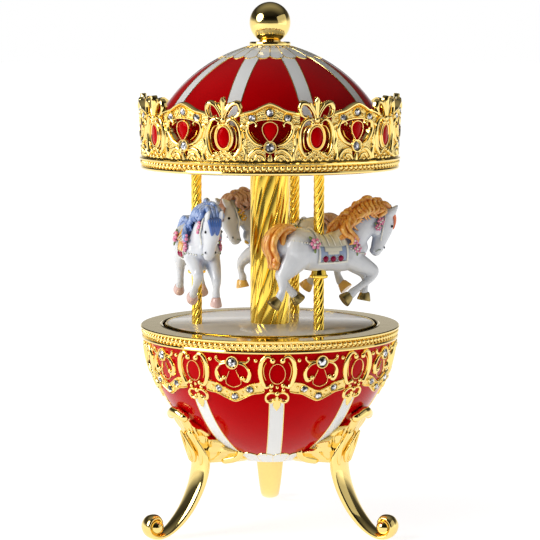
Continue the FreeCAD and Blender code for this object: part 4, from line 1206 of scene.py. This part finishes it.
def horse_tack(shape):
    """Saddle, cloth, girth, bridle, flowers and stones."""
    def seat_rise(along, around):
        return 0.25 + 1.5 * abs(2 * along - 1) ** 2.6 * math.sin(math.pi * around) ** 1.5

    wrap(shape, (-2.4, 6.8), (-116, 116), 0.25, CLOTH)
    for side in (-1, 1):
        wrap(shape, (-2.8, 7.1), (side * 112, side * 119), 0.4, TRIM)
    for edge in ((-2.9, -2.3), (6.6, 7.2)):
        wrap(shape, edge, (-118, 118), 0.42, TRIM)
    wrap(shape, (-3.2, 6.4), (-64, 64), 0.65, SEAT, seat_rise)
    wrap(shape, (-0.8, 5.0), (-78, 78), 0.5, SEAT)
    wrap(shape, (0.2, 4.0), (-87, 87), 0.42, SEAT)
    for side in (-1, 1):
        for k in range(4):
            rib = [over_back(-1.6 + 2.1 * k, side * turn, 1.15) for turn in (16, 34, 52, 60)]
            bar(shape, rib, [(0.22, 0.22)] * 4, side=Vector((1, 0, 0)), finish=TRIM, sides=7)
        for x in (-0.6, 2.0, 4.6):
            spot = over_back(x, side * 101, 0.25)
            stone(shape, spot, Vector((0, side, -0.2)).normalized(), 0.95, 0.6, RUBY)
            for j in range(12):
                u, s = polar(1.05, 30.0 * j).xy
                ball(shape, spot + Vector((u, 0.1 * side, s)), 0.17, TRIM, around=5, rings=4)
        for strap in ([over_back(-3.4, side * 60, 0.3), (-7.6, side * 5.8, 91.0), (-11.0, side * 4.6, 91.6)],
                      [over_back(7.2, side * 70, 0.4), (10.8, side * 5.3, 87.2), (14.4, side * 2.6, 86.6)]):
            string_of(shape, strap, 0.32, TRIM, 0.7)
        for x, y, z, ahead, up, radius, leaves in (
                (-4.4, side * 5.7, 90.6, 0, 0.25, 1.25, 2), (9.6, side * 5.1, 91.2, 0.1, 0.2, 1.15, 2),
                (10.4, side * 5.3, 88.6, 0.1, 0.1, 1.0, 2), (19.6, side * 3.05 - 0.35, 96.2, 0, 0.1, 0.9, 2),
                (18.6, side * 3.15 - 0.35, 94.4, 0, 0.1, 0.8, 1)):
            blossom(shape, (x, y, z), Vector((ahead, side, up)).normalized(), radius, leaves)
        ball(shape, (23.9, side * 2.4 - 0.3, 94.4), 0.45, EYE, around=10, rings=7)
        ball(shape, (21.6, side * 1.6 - 0.6, 88.0), 0.32, EYE, around=8, rings=5, stretch=(0.7, 0.6, 1.2))
        lips = [(18.4, side * 1.75 - 0.6, 86.9), (19.3, side * 1.95 - 0.6, 87.4), (20.2, side * 1.9 - 0.6, 87.4)]
        bar(shape, lips, [(0.1, 0.1)] * 3, finish=GREEN, sides=6)
        cheek = [(21.6, side * 1.9 - 0.3, 99.2), (21.4, side * 2.75 - 0.3, 97.2), (20.2, side * 3.1 - 0.35, 93.6),
                 (20.0, side * 2.35 - 0.5, 90.4)]
        bar(shape, cheek, [(0.24, 0.24)] * 4, finish=TRIM, sides=7)
    for y in (-2, -1, 0, 1, 2):
        lock(shape, [(23.2, y * 0.7 - 0.3, 99.4), (24.9, y * 0.8 - 0.3, 98.0), (25.5, y * 0.65 - 0.3, 96.0),
                     (25.2, y * 0.35 - 0.35, 94.6 - 0.5 * abs(y)), (24.9, y * 0.1 - 0.4, 93.0 + abs(y))], 0.6, 0.6,
             ORNAMENT)
    ball(shape, (15.4, 0, 86.4), 0.95, PETAL, around=10, rings=7)


def horse_hooves(shape):
    """Hooves with a sole and a coronet."""
    for x, y, z, lean in (
            (8.4, NEAR, 73.6, 55), (17.6, FAR, 73.2, 12), (-16.0, NEAR, 73.6, 42), (-6.2, FAR, 74.0, -38)):
        hoof = Shape()
        lathe(hoof, [(0.0, -1.7), (1.95, -1.7), (2.0, -1.3), (1.45, 0.7), (1.1, 1.1), (0.0, 1.2)], HOOF, steps=20,
              closed=False)
        turn = Matrix.Translation((x, y, z)) @ Matrix.Rotation(math.radians(lean), 4, "Y")
        shape.copy(hoof, turn @ Matrix.Diagonal((1.12, 0.9, 1, 1)))


def horse_shape():
    horse = Shape()
    horse.copy(melted(horse_body(), 0.34, 5), finish=BODY)
    dice = random.Random(7)
    horse_mane(horse, dice)
    horse_tail(horse, dice)
    horse_tack(horse)
    horse_hooves(horse)
    return horse


def eased(value):
    value = max(0.0, min(1.0, value))
    return value * value * (3 - 2 * value)


NECK_START, NECK_LENGTH = 9.5, 8.5      # along the horse, where the bend starts and how long it takes
CHEST = 83.6            # height under which nothing bends


def head_turned(horse, turn, reach):
    """The horse with its neck bent sideways. The forelegs stay where they are."""
    turned = Shape()
    turned.copy(horse)
    pivot = Vector((13.0, 0.0, 0.0))
    for k, v in enumerate(turned.verts):
        along = eased((v.x - NECK_START) / NECK_LENGTH)
        share = along * eased((v.z - CHEST) / 2.4 - max(0.0, 14.5 - v.x) * 0.3)
        if share > 0:
            ahead = pivot + Vector((reach * share, 0.0, 0.0))
            turned.verts[k] = ahead + Matrix.Rotation(math.radians(turn * share), 3, "Z") @ (v - pivot)
    return turned


# Each horse's light colour is the lighter stroke on its hair, which also serves as painted highlight on the locks.
PAINTS = {              # colours of each horse's parts
    "blue": {"light": (0.46, 0.58, 0.84), "hoof": (0.72, 0.48, 0.42), "seat": (0.90, 0.48, 0.04),
             "cloth": (0.92, 0.54, 0.06), "petals": (0.80, 0.24, 0.40), "ornament": (0.05, 0.13, 0.42)},
    "gold": {"light": (0.96, 0.58, 0.15), "hoof": (0.36, 0.27, 0.10), "seat": (0.80, 0.76, 0.60),
             "cloth": (0.30, 0.38, 0.56), "petals": (0.80, 0.24, 0.40), "ornament": (0.80, 0.16, 0.03)},
    "brown": {"light": (0.70, 0.46, 0.36), "hoof": (0.86, 0.50, 0.10), "seat": (0.80, 0.74, 0.62),
              "cloth": (0.72, 0.62, 0.42), "petals": (0.86, 0.50, 0.04)},
}


def horse_paints(mane):
    """Finishes of one horse, from BODY to ORNAMENT."""
    tint = colours()
    hair_colour = {"blue": tint.blue, "gold": tint.orange, "brown": tint.brown}[mane]
    paints = {"ornament": hair_colour} | PAINTS[mane]

    def own(part):
        return kept(paint, f"{mane}_{part}", paints[part])

    return [
        kept(horse_glaze),
        kept(hair, f"{mane}_hair", hair_colour, paints["light"]),
        kept(turned_metal, "bronze_hoof", paints["hoof"], 0.34) if mane == "gold" else own("hoof"),
        own("seat"),
        own("cloth"),
        kept(paint, "ivory_trim", (0.80, 0.78, 0.68)),
        own("petals"),
        kept(paint, "green_paint", (0.16, 0.22, 0.05)),
        kept(enamel_finish, "ruby_stone", (0.36, 0.004, 0.06), 0.5),
        kept(enamel_finish, "eye_paint", (0.01, 0.01, 0.012), 0.8),
        own("ornament"),
    ]


class MUSICBOX_OT_horses(bpy.types.Operator):
    """Three jumping horses from one casting, each in its own colours"""

    bl_idname = "music_box.horses"
    bl_label = "Horses"

    def execute(self, context):
        horse = horse_shape()
        for mane, heading in HORSES.items():
            node = f"horse_{mane}_mane"
            spot = middle_of(f"pole_{mane}_horse")
            place = Matrix.Translation((spot.x, spot.y, 0)) @ Matrix.Rotation(math.radians(heading), 4, "Z")
            one = Shape()
            one.copy(head_turned(horse, *HEAD_TURNS[mane]), place)
            one.piece(f"{node}_painted", "carousel", "horse_enamel", horse_paints(mane), sharp=50, replaces=[node])
        return {"FINISHED"}


# --- Canopy --------------------------------------------------------------------------------------------------
RIM_TOP = top_of("canopy_rim")
ARC_R, ARC_X, ARC_Z = 46.3, -5.8, 104.1     # arc that the dome is turned from


def dome_height(radius):
    return ARC_Z + math.sqrt(max(ARC_R**2 - (radius - ARC_X) ** 2, 0.0))


DOME = Round(lambda r: r, dome_height, outward=-1)
PETAL_IN, PETAL_OUT = 6.0, 14.7
DOME_FOOT = 37.9        # the dome stands inside the crown


class MUSICBOX_OT_dome(bpy.types.Operator):
    """Red enamel roof with white stripes and petals"""

    bl_idname = "music_box.dome"
    bl_label = "Dome"

    def execute(self, context):
        sizes = context.scene.music_box_sizes
        foot_r = min(ARC_X + math.sqrt(ARC_R**2 - (RIM_TOP + 0.1 - ARC_Z) ** 2), DOME_FOOT)
        roof, steps = Shape(), 56
        radii = [foot_r + (1.6 - foot_r) * (k / steps) ** 0.85 for k in range(steps + 1)]
        outer = [(foot_r, RIM_TOP)] + [(r, dome_height(r)) for r in radii]
        inner = [(r - 1.0 if r > 5 else r, dome_height(r) - 1.0) for r in reversed(radii)]
        lathe(roof, outer + inner + [(foot_r - 1.1, RIM_TOP)])
        roof.piece("dome_red_enamel", "carousel", "red_enamel", replaces=["canopy_dome"])

        white, wires, line = Shape(), Shape(), sizes.gold_line / MM
        stripes(white, wires, DOME, FRONT + SECTOR / 2, foot_r - 0.3, PETAL_OUT - 0.4, PETAL_OUT - 0.3, sizes)
        petal_ring(white, wires, DOME, FRONT, sizes.petals, PETAL_IN, PETAL_OUT - 0.3, 1.3, (0.15, 0.24))
        half = math.pi * PETAL_IN / sizes.petals
        tip = [(0.0, PETAL_IN + 0.3), (half * 0.6, PETAL_IN + 1.9), (half * 1.15, PETAL_IN + 2.4)]
        vein = [(0, PETAL_IN), (0, 10.0), (0, PETAL_OUT + 0.1)]
        for k in range(sizes.petals):
            angle = FRONT + 360.0 * k / sizes.petals
            relief(wires, DOME, angle, vein, line * 0.75, 0.24, steps=4, sides=4)
            both_sides(wires, DOME, angle, tip, line * 0.6, 0.24, steps=4, sides=4)
        white.piece("dome_white_enamel", "carousel", "white_enamel")
        wires.piece("dome_gold_wires", "carousel", "gold")
        return {"FINISHED"}


CROWN_TALL = top_of("crown_gallery") - RIM_TOP
CROWN_R, CROWN_FLARE = 38.7, 0.75       # radius at the crown's foot, and how much wider its top is
CROWN = Round(lambda z: CROWN_R + CROWN_FLARE * max(0.0, (z - RIM_TOP) / CROWN_TALL) ** 1.5, lambda z: z)
CROWN_BACK = 0.55       # how far the openwork reaches behind its face


def crown_path(points):
    """Path given in millimetres above the canopy's rim."""
    return [(u, RIM_TOP + s) for u, s in points]


def wire(shape, angle, points, widths, height=0.75, **settings):
    relief(shape, CROWN, angle, crown_path(points), widths, height, sink=CROWN_BACK, **settings)


def wires_both(shape, angle, points, widths, height=0.75, **settings):
    wire(shape, angle, points, widths, height, **settings)
    wire(shape, angle, mirrored(points), widths, height, **settings)


def crown_bead(shape, angle, u, s, radius, lift=0.3):
    bead(shape, CROWN, angle, u, RIM_TOP + s, radius, lift)


def pear(width, low, high, count=20):
    """Pear-shaped outline of (u, s) points with its round end up."""
    points = []
    for k in range(count):
        t = 2 * math.pi * k / count
        points.append((width * math.sin(t) * (0.5 + 0.5 * math.cos(t)) ** 0.45 * 1.1,
                       (high + low) / 2 + (high - low) / 2 * math.cos(t)))
    return points


CROWN_STONES = [(0, 4.6, 1.5), (0, 14.5, 1.2), (5.1, 13.0, 1.15), (-5.1, 13.0, 1.15)]
OVAL_OUTLINE = oval(2.0, 3.2, 0, 7.3, 20)
PEAR_OUTLINE = pear(2.55, 5.9, 11.9)


def crown_drop_motif(gold, angle):
    """Pear between heart scrolls, over a stone, under the jewelled arch."""
    wire(gold, angle, PEAR_OUTLINE, 0.5, 0.95, closed=True, steps=2, sides=5)
    wires_both(gold, angle,
               [(1.9, 4.9), (4.3, 5.9), (6.1, 8.0), (6.6, 10.0), (5.9, 11.8), (4.7, 12.0), (3.9, 11.2),
                (4.1, 10.4)],
               [0.8, 1.2, 1.4, 1.3, 1.1, 0.9, 0.8, 0.6], 0.95)
    wires_both(gold, angle, [(2.6, 6.2), (4.5, 7.6), (5.3, 9.4)], [0.2, 0.3, 0.2], 1.05)
    wires_both(gold, angle, [(1.8, 3.4), (3.3, 3.9), (4.9, 3.2), (6.0, 1.9), (6.2, 0.5)],
               [0.7, 1.1, 1.3, 1.2, 0.7], 0.85)
    wires_both(gold, angle, [(1.2, 0.6), (2.2, 2.0), (3.7, 2.2), (4.5, 0.9)], [0.9, 1.1, 1.1, 0.7], 0.75)
    wire(gold, angle, [(0, 0.4), (0, 1.6), (0, 2.8)], [1.6, 1.5, 0.6], 0.8)
    wire(gold, angle, oval(1.7, 1.7, 0, 4.6, 14), 0.6, 1.0, closed=True, steps=2, sides=5)
    lower = whole([(8.7, 10.2), (6.4, 11.0), (4.1, 12.0), (2.0, 12.5), (0, 12.6)])
    upper = whole([(8.6, 13.8), (6.8, 14.4), (4.4, 15.0), (2.1, 16.2), (0, 16.9)])
    crown_sheet(gold, angle, upper, lower)
    wire(gold, angle, lower, 0.65, 0.85, sides=5)
    wire(gold, angle, upper, 0.95, 1.2, sides=5)
    wire(gold, angle, [(u, s - 0.75) for u, s in upper[1:-1]], 0.3, 0.8, sides=4)
    for u, s, radius in CROWN_STONES[1:]:
        wire(gold, angle, oval(radius + 0.15, radius + 0.15, u, s, 12), 0.4, 0.85, closed=True, steps=2, sides=4)
    for side in (-1, 1):
        crown_sheet(gold, angle, [(side * 6.5, 10.9), (side * 6.5, 7.0), (side * 6.3, 3.0), (side * 6.0, 0.4)],
                    [(side * 8.9, 10.9), (side * 8.9, 7.0), (side * 9.0, 3.0), (side * 9.2, 0.4)])
        crown_sheet(gold, angle, [(side * 1.5, 4.0), (side * 4.2, 5.3), (side * 6.6, 8.2)],
                    [(side * 1.0, 0.3), (side * 3.4, 0.3), (side * 6.6, 0.3)])
    # leaves that fill the gap to the next motif
    wires_both(gold, angle, [(7.3, 0.6), (7.0, 2.8), (7.6, 5.0), (7.2, 7.2), (7.9, 9.6)],
               [1.7, 1.3, 1.7, 1.2, 0.8], 0.8)
    for place in ((2.5, 13.6, 0.42), (2.2, 15.1, 0.33), (7.2, 12.5, 0.42), (7.0, 4.4, 0.5), (6.9, 6.4, 0.38),
                  (5.1, 0.8, 0.55), (3.1, 0.8, 0.5)):
        crown_bead(gold, angle, *place, lift=0.35)


def crown_sheet(gold, angle, upper, lower):
    """Sheet of the openwork, with a front and a back."""
    sheet(gold, CROWN, angle, crown_path(upper), crown_path(lower), 0.2, -0.5, backs=(4, 2, 0), steps=4)


def crown_oval_motif(gold, angle):
    """Oval in a double C frame under a three-leaf flower."""
    wire(gold, angle, OVAL_OUTLINE, 0.5, 0.95, closed=True, steps=2, sides=5)
    wires_both(gold, angle, [(0.9, 11.5), (2.3, 12.6), (3.9, 11.8), (5.0, 9.2), (5.1, 6.4), (4.6, 3.8), (3.3, 2.0),
                             (2.1, 2.5)],
               [0.7, 1.1, 1.3, 1.4, 1.4, 1.3, 1.1, 0.7], 1.15)
    wire(gold, angle, oval(2.6, 3.8, 0, 7.3, 20), 0.9, 0.7, closed=True, steps=2, sides=5)
    wires_both(gold, angle, [(1.6, 10.8), (2.9, 10.4), (3.85, 8.6), (3.95, 6.2), (3.4, 4.2), (2.3, 3.4)],
               [0.3, 0.45, 0.5, 0.5, 0.45, 0.3], 0.85)
    crown_sheet(gold, angle, [(-5.4, 2.6), (-2.5, 3.0), (0, 3.4), (2.5, 3.0), (5.4, 2.6)],
                [(-5.4, 0.3), (-2.5, 0.3), (0, 0.3), (2.5, 0.3), (5.4, 0.3)])
    for place in ((1.2, 11.2, 0.72, 0.5), (2.0, 2.7, 0.7, 0.5), (0.8, 3.2, 0.55, 0.4), (3.4, 0.9, 0.65),
                  (4.8, 1.6, 0.6), (1.2, 0.9, 0.7), (0, 12.4, 0.95, 0.6), (0, 1.9, 0.6)):
        crown_bead(gold, angle, *place)
    wires_both(gold, angle, [(0.4, 12.9), (1.3, 15.0), (2.7, 16.8), (4.4, 17.2), (5.1, 15.6), (4.5, 13.8),
                             (3.3, 13.2), (2.4, 13.6)],
               [0.8, 1.0, 1.3, 1.6, 1.4, 1.1, 0.8, 0.5], 1.15)
    wires_both(gold, angle, [(0.8, 12.8), (2.1, 12.8), (3.5, 13.0)], [0.6, 0.8, 0.4], 0.9)
    wire(gold, angle, [(0, 12.9), (0, 14.4), (0, 16.4), (0, 17.8), (0, 19.0)], [0.9, 1.3, 1.7, 1.9, 0.6], 1.35,
         sides=8)
    wires_both(gold, angle, [(0.2, 13.8), (0.9, 15.4), (1.7, 16.6), (2.0, 17.4)], [0.5, 1.1, 1.3, 0.5], 1.15)
    wires_both(gold, angle, [(4.9, 10.2), (5.9, 11.0), (6.9, 10.6)], [0.7, 1.1, 0.8], 0.85)
    wires_both(gold, angle, [(5.0, 4.6), (6.0, 4.4), (6.5, 3.2)], [0.6, 0.8, 0.5], 0.75)
    wire(gold, angle, [(-4.6, 0.5), (0, 0.5), (4.6, 0.5)], 1.0, 0.6)


class MUSICBOX_OT_crown(bpy.types.Operator):
    """Openwork crown with red cabochons and foiled stones"""

    bl_idname = "music_box.crown"
    bl_label = "Crown"

    def execute(self, context):
        gold, enamels, stones = Shape(), Shape(), Shape()
        drop, middle = FRONT, FRONT + SECTOR / 2
        crown_drop_motif(gold, drop)
        crown_oval_motif(gold, middle)
        cabochon(enamels, CROWN, drop, crown_path(PEAR_OUTLINE), (0, RIM_TOP + 8.8), 0.65, 0.15)
        cabochon(enamels, CROWN, middle, crown_path(OVAL_OUTLINE), (0, RIM_TOP + 6.7), 0.9, 0.15)
        for u, s, radius in CROWN_STONES:
            s += RIM_TOP
            stone(stones, CROWN.at(drop, u, s, 0.05), CROWN.outward_at(drop, u, s), radius, 0.95)
            back = CROWN.at(drop, u, s, -0.45)
            ball(gold, back + CROWN.outward_at(drop, u, s) * 0.1, radius * 0.98, 0, around=12, rings=6,
                 stretch=(1, 0.3, 1))
        crown = gold.around(SECTORS)
        lathe(crown, [(37.7, RIM_TOP), (39.35, RIM_TOP), (39.5, RIM_TOP + 0.3), (39.3, RIM_TOP + 0.65),
                      (38.6, RIM_TOP + 0.8), (37.7, RIM_TOP + 0.5)])
        crown.piece("crown_openwork", "carousel", "gold", [kept(polished_gold), kept(pearled_gold)],
                    replaces=["crown_gallery"])
        enamels.around(SECTORS).piece("crown_cabochons", "carousel", "red_enamel",
                                      replaces=["crown_enamels"])
        stones.around(SECTORS).piece("crown_stones", "carousel", "crystal", sharp=0,
                                     replaces=["crown_crystals"])
        return {"FINISHED"}


class MUSICBOX_OT_finial(bpy.types.Operator):
    """Ball finial on a stepped washer"""

    bl_idname = "music_box.finial"
    bl_label = "Finial"

    def execute(self, context):
        low, high = foot_of("finial_washer"), top_of("finial_washer")
        reach = reach_of("finial_washer")
        washer = Shape()
        lathe(washer, [(1.6, low + 0.3), (reach - 0.5, low), (reach - 0.1, low + 0.15), (reach, low + 0.5),
                       (reach, high - 0.45), (reach - 0.15, high - 0.15), (reach - 0.5, high), (1.6, high)],
              steps=96)
        washer.piece("finial_disc", "carousel", "gold", replaces=["finial_washer"])
        radius = reach_of("finial_ball")
        centre = top_of("finial_ball") - radius
        neck, steps = 2.75, 40
        outline = [(1.6, high), (3.4, high), (3.3, high + 0.35), (neck, high + 0.5)]
        start = math.degrees(math.asin(neck / radius))
        for k in range(steps + 1):
            angle = math.radians(180 - start - (180 - start) * k / steps)
            outline.append((max(radius * math.sin(angle), 0.0), centre + radius * math.cos(angle)))
        orb = Shape()
        lathe(orb, outline, steps=96, closed=False)
        orb.piece("finial_orb", "carousel", "gold", replaces=["finial_ball"])
        return {"FINISHED"}


# --- Movement ------------------------------------------------------------------------------------------------
class MUSICBOX_OT_movement(bpy.types.Operator):
    """Finishes of the movement, the key and the hidden plates"""

    bl_idname = "music_box.movement"
    bl_label = "Movement"

    def execute(self, context):
        slots = {part["node"]: part["material_slot"] for part in frame["record"]["subparts"]}
        finishes = {
            "gold": kept(polished_gold),
            "red_enamel": kept(drawn_gold),
            "brass": kept(turned_metal, "turned_brass", (0.78, 0.58, 0.26), 0.28),
            "steel": kept(turned_metal, "turned_steel", (0.62, 0.62, 0.64), 0.26),
            "spring_steel": kept(turned_metal, "blued_steel", (0.20, 0.25, 0.42), 0.30),
        }
        for node, thing in frame["nodes"].items():
            if not thing.hide_render and slots[node] in finishes:
                thing.data.materials.clear()
                thing.data.materials.append(finishes[slots[node]])
        return {"FINISHED"}


# --- Stage ---------------------------------------------------------------------------------------------------
SKY = [(0.0, 1.0), (0.05, 1.0), (0.12, 0.5), (0.24, 0.07), (0.5, 0.03), (1.0, 0.30)]     # (height, grey) stops
FLOOR_RINGS = (0.001, 400.0, 3000.0, 12000.0)
LAMPS = {               # place, size in metres, power and shape
    "left_softbox": ((-0.90, -0.42, 0.58), (0.76, 0.76), 10.0, "DISK"),
    "right_softbox": ((0.92, -0.22, 0.34), (1.15, 0.75), 1.5, "RECTANGLE"),
}
LAMPS_AIM = Vector((0, 0, 0.09))
CAMERA_PLACE = (0.0, -0.65, 0.1512)
CAMERA_ANGLE, CAMERA_DIP = 14.52, 6.24      # field of view and downward tilt, in degrees


def show(name, data, place=(0, 0, 0)):
    """New object in the scene."""
    thing = bpy.data.objects.new(name, data)
    thing.location = place
    bpy.context.scene.collection.objects.link(thing)
    return thing


def studio_floor():
    """Pale floor that glows out to the horizon and keeps only a soft shadow by the feet."""
    floor = Shape()
    lathe(floor, [(radius, 0.0) for radius in FLOOR_RINGS], steps=64, closed=False)
    mesh = bpy.data.meshes.new("floor")
    mesh.from_pydata([v * MM for v in floor.verts], [], floor.faces)
    pale = Finish("pale_floor", Base_Color=(0.35, 0.35, 0.35), Roughness=0.9, Emission_Strength=1.0)
    far = pale.node("ShaderNodeVectorMath", {"operation": "LENGTH"}, {0: pale.place()}, out=1)
    ahead = pale.node("ShaderNodeSeparateXYZ", {}, {0: pale.place()}, out=1)
    glow = (far * 1.4 + 0.82).held() * ((ahead + 1.6) * 0.7 + 0.4).held()
    pale.feed("Emission Color", pale.blend(glow, (0, 0, 0), (1, 1, 1)))
    mesh.materials.append(pale.material)
    show("floor", mesh)


def studio_sky(scene):
    """Soft box all round, darker overhead and behind the camera."""
    scene.world = bpy.data.worlds.new("studio")
    scene.world.use_nodes = True
    nodes, links = scene.world.node_tree.nodes, scene.world.node_tree.links
    split = nodes.new("ShaderNodeSeparateXYZ")
    ramp = nodes.new("ShaderNodeValToRGB")
    ahead = nodes.new("ShaderNodeMapRange")
    for key, value in (("From Min", -0.5), ("From Max", 0.2), ("To Min", 0.15)):
        ahead.inputs[key].default_value = value
    background = nodes["Background"].inputs
    for start, end in (
            (nodes.new("ShaderNodeTexCoord").outputs["Generated"], split.inputs[0]),
            (split.outputs["Z"], ramp.inputs["Fac"]), (split.outputs["Y"], ahead.inputs["Value"]),
            (ahead.outputs["Result"], background["Strength"]), (ramp.outputs["Color"], background["Color"])):
        links.new(start, end)
    stops = ramp.color_ramp.elements
    while len(stops) < len(SKY):
        stops.new(0.5)
    for stop, (place, grey) in zip(stops, SKY):
        stop.position, stop.color = place, (grey, grey, grey, 1)


class MUSICBOX_OT_stage(bpy.types.Operator):
    """Pale floor, soft studio light and the camera"""

    bl_idname = "music_box.stage"
    bl_label = "Stage"

    def execute(self, context):
        scene = context.scene
        scene.view_settings.view_transform = "Standard"
        studio_floor()
        studio_sky(scene)
        for name, (place, size, power, shape) in LAMPS.items():
            data = bpy.data.lights.new(name, "AREA")
            data.shape, data.energy = shape, power
            data.size, data.size_y = size
            lamp = show(name, data, place)
            lamp.visible_camera = False
            lamp.rotation_euler = (LAMPS_AIM - lamp.location).to_track_quat("-Z", "Y").to_euler()
        data = bpy.data.cameras.new("camera")
        data.angle = math.radians(CAMERA_ANGLE)
        data.clip_start = 0.01
        scene.camera = show("camera", data, CAMERA_PLACE)
        scene.camera.rotation_euler = (math.radians(90 - CAMERA_DIP), 0, 0)
        return {"FINISHED"}


# --- Panel ---------------------------------------------------------------------------------------------------
STEPS = (
    MUSICBOX_OT_bowl, MUSICBOX_OT_bowl_relief, MUSICBOX_OT_rims, MUSICBOX_OT_legs, MUSICBOX_OT_platform,
    MUSICBOX_OT_column, MUSICBOX_OT_poles, MUSICBOX_OT_horses, MUSICBOX_OT_dome, MUSICBOX_OT_crown,
    MUSICBOX_OT_finial, MUSICBOX_OT_movement, MUSICBOX_OT_stage,
)


class MUSICBOX_PT_panel(bpy.types.Panel):
    """Sizes, colours and pieces of the music box"""

    bl_idname = "MUSICBOX_PT_panel"
    bl_label = "Carousel Music Box"
    bl_space_type = "VIEW_3D"
    bl_region_type = "UI"
    bl_category = "Music Box"

    def draw(self, context):
        for group in (context.scene.music_box_sizes, context.scene.music_box_colours):
            for name in group.__annotations__:
                self.layout.prop(group, name)
        for step in STEPS:
            self.layout.operator(step.bl_idname)


CLASSES = (MusicBoxSizes, MusicBoxColours, *STEPS, MUSICBOX_PT_panel)


def register():
    for cls in CLASSES:
        bpy.utils.register_class(cls)
    bpy.types.Scene.music_box_sizes = bpy.props.PointerProperty(type=MusicBoxSizes)
    bpy.types.Scene.music_box_colours = bpy.props.PointerProperty(type=MusicBoxColours)


def unregister():
    del bpy.types.Scene.music_box_colours
    del bpy.types.Scene.music_box_sizes
    for cls in reversed(CLASSES):
        bpy.utils.unregister_class(cls)


def main():
    register()
    for step in STEPS:
        group, name = step.bl_idname.split(".")
        getattr(getattr(bpy.ops, group), name)()
    bpy.context.view_layer.update()
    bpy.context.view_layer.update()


if __name__ == "__main__":
    main()
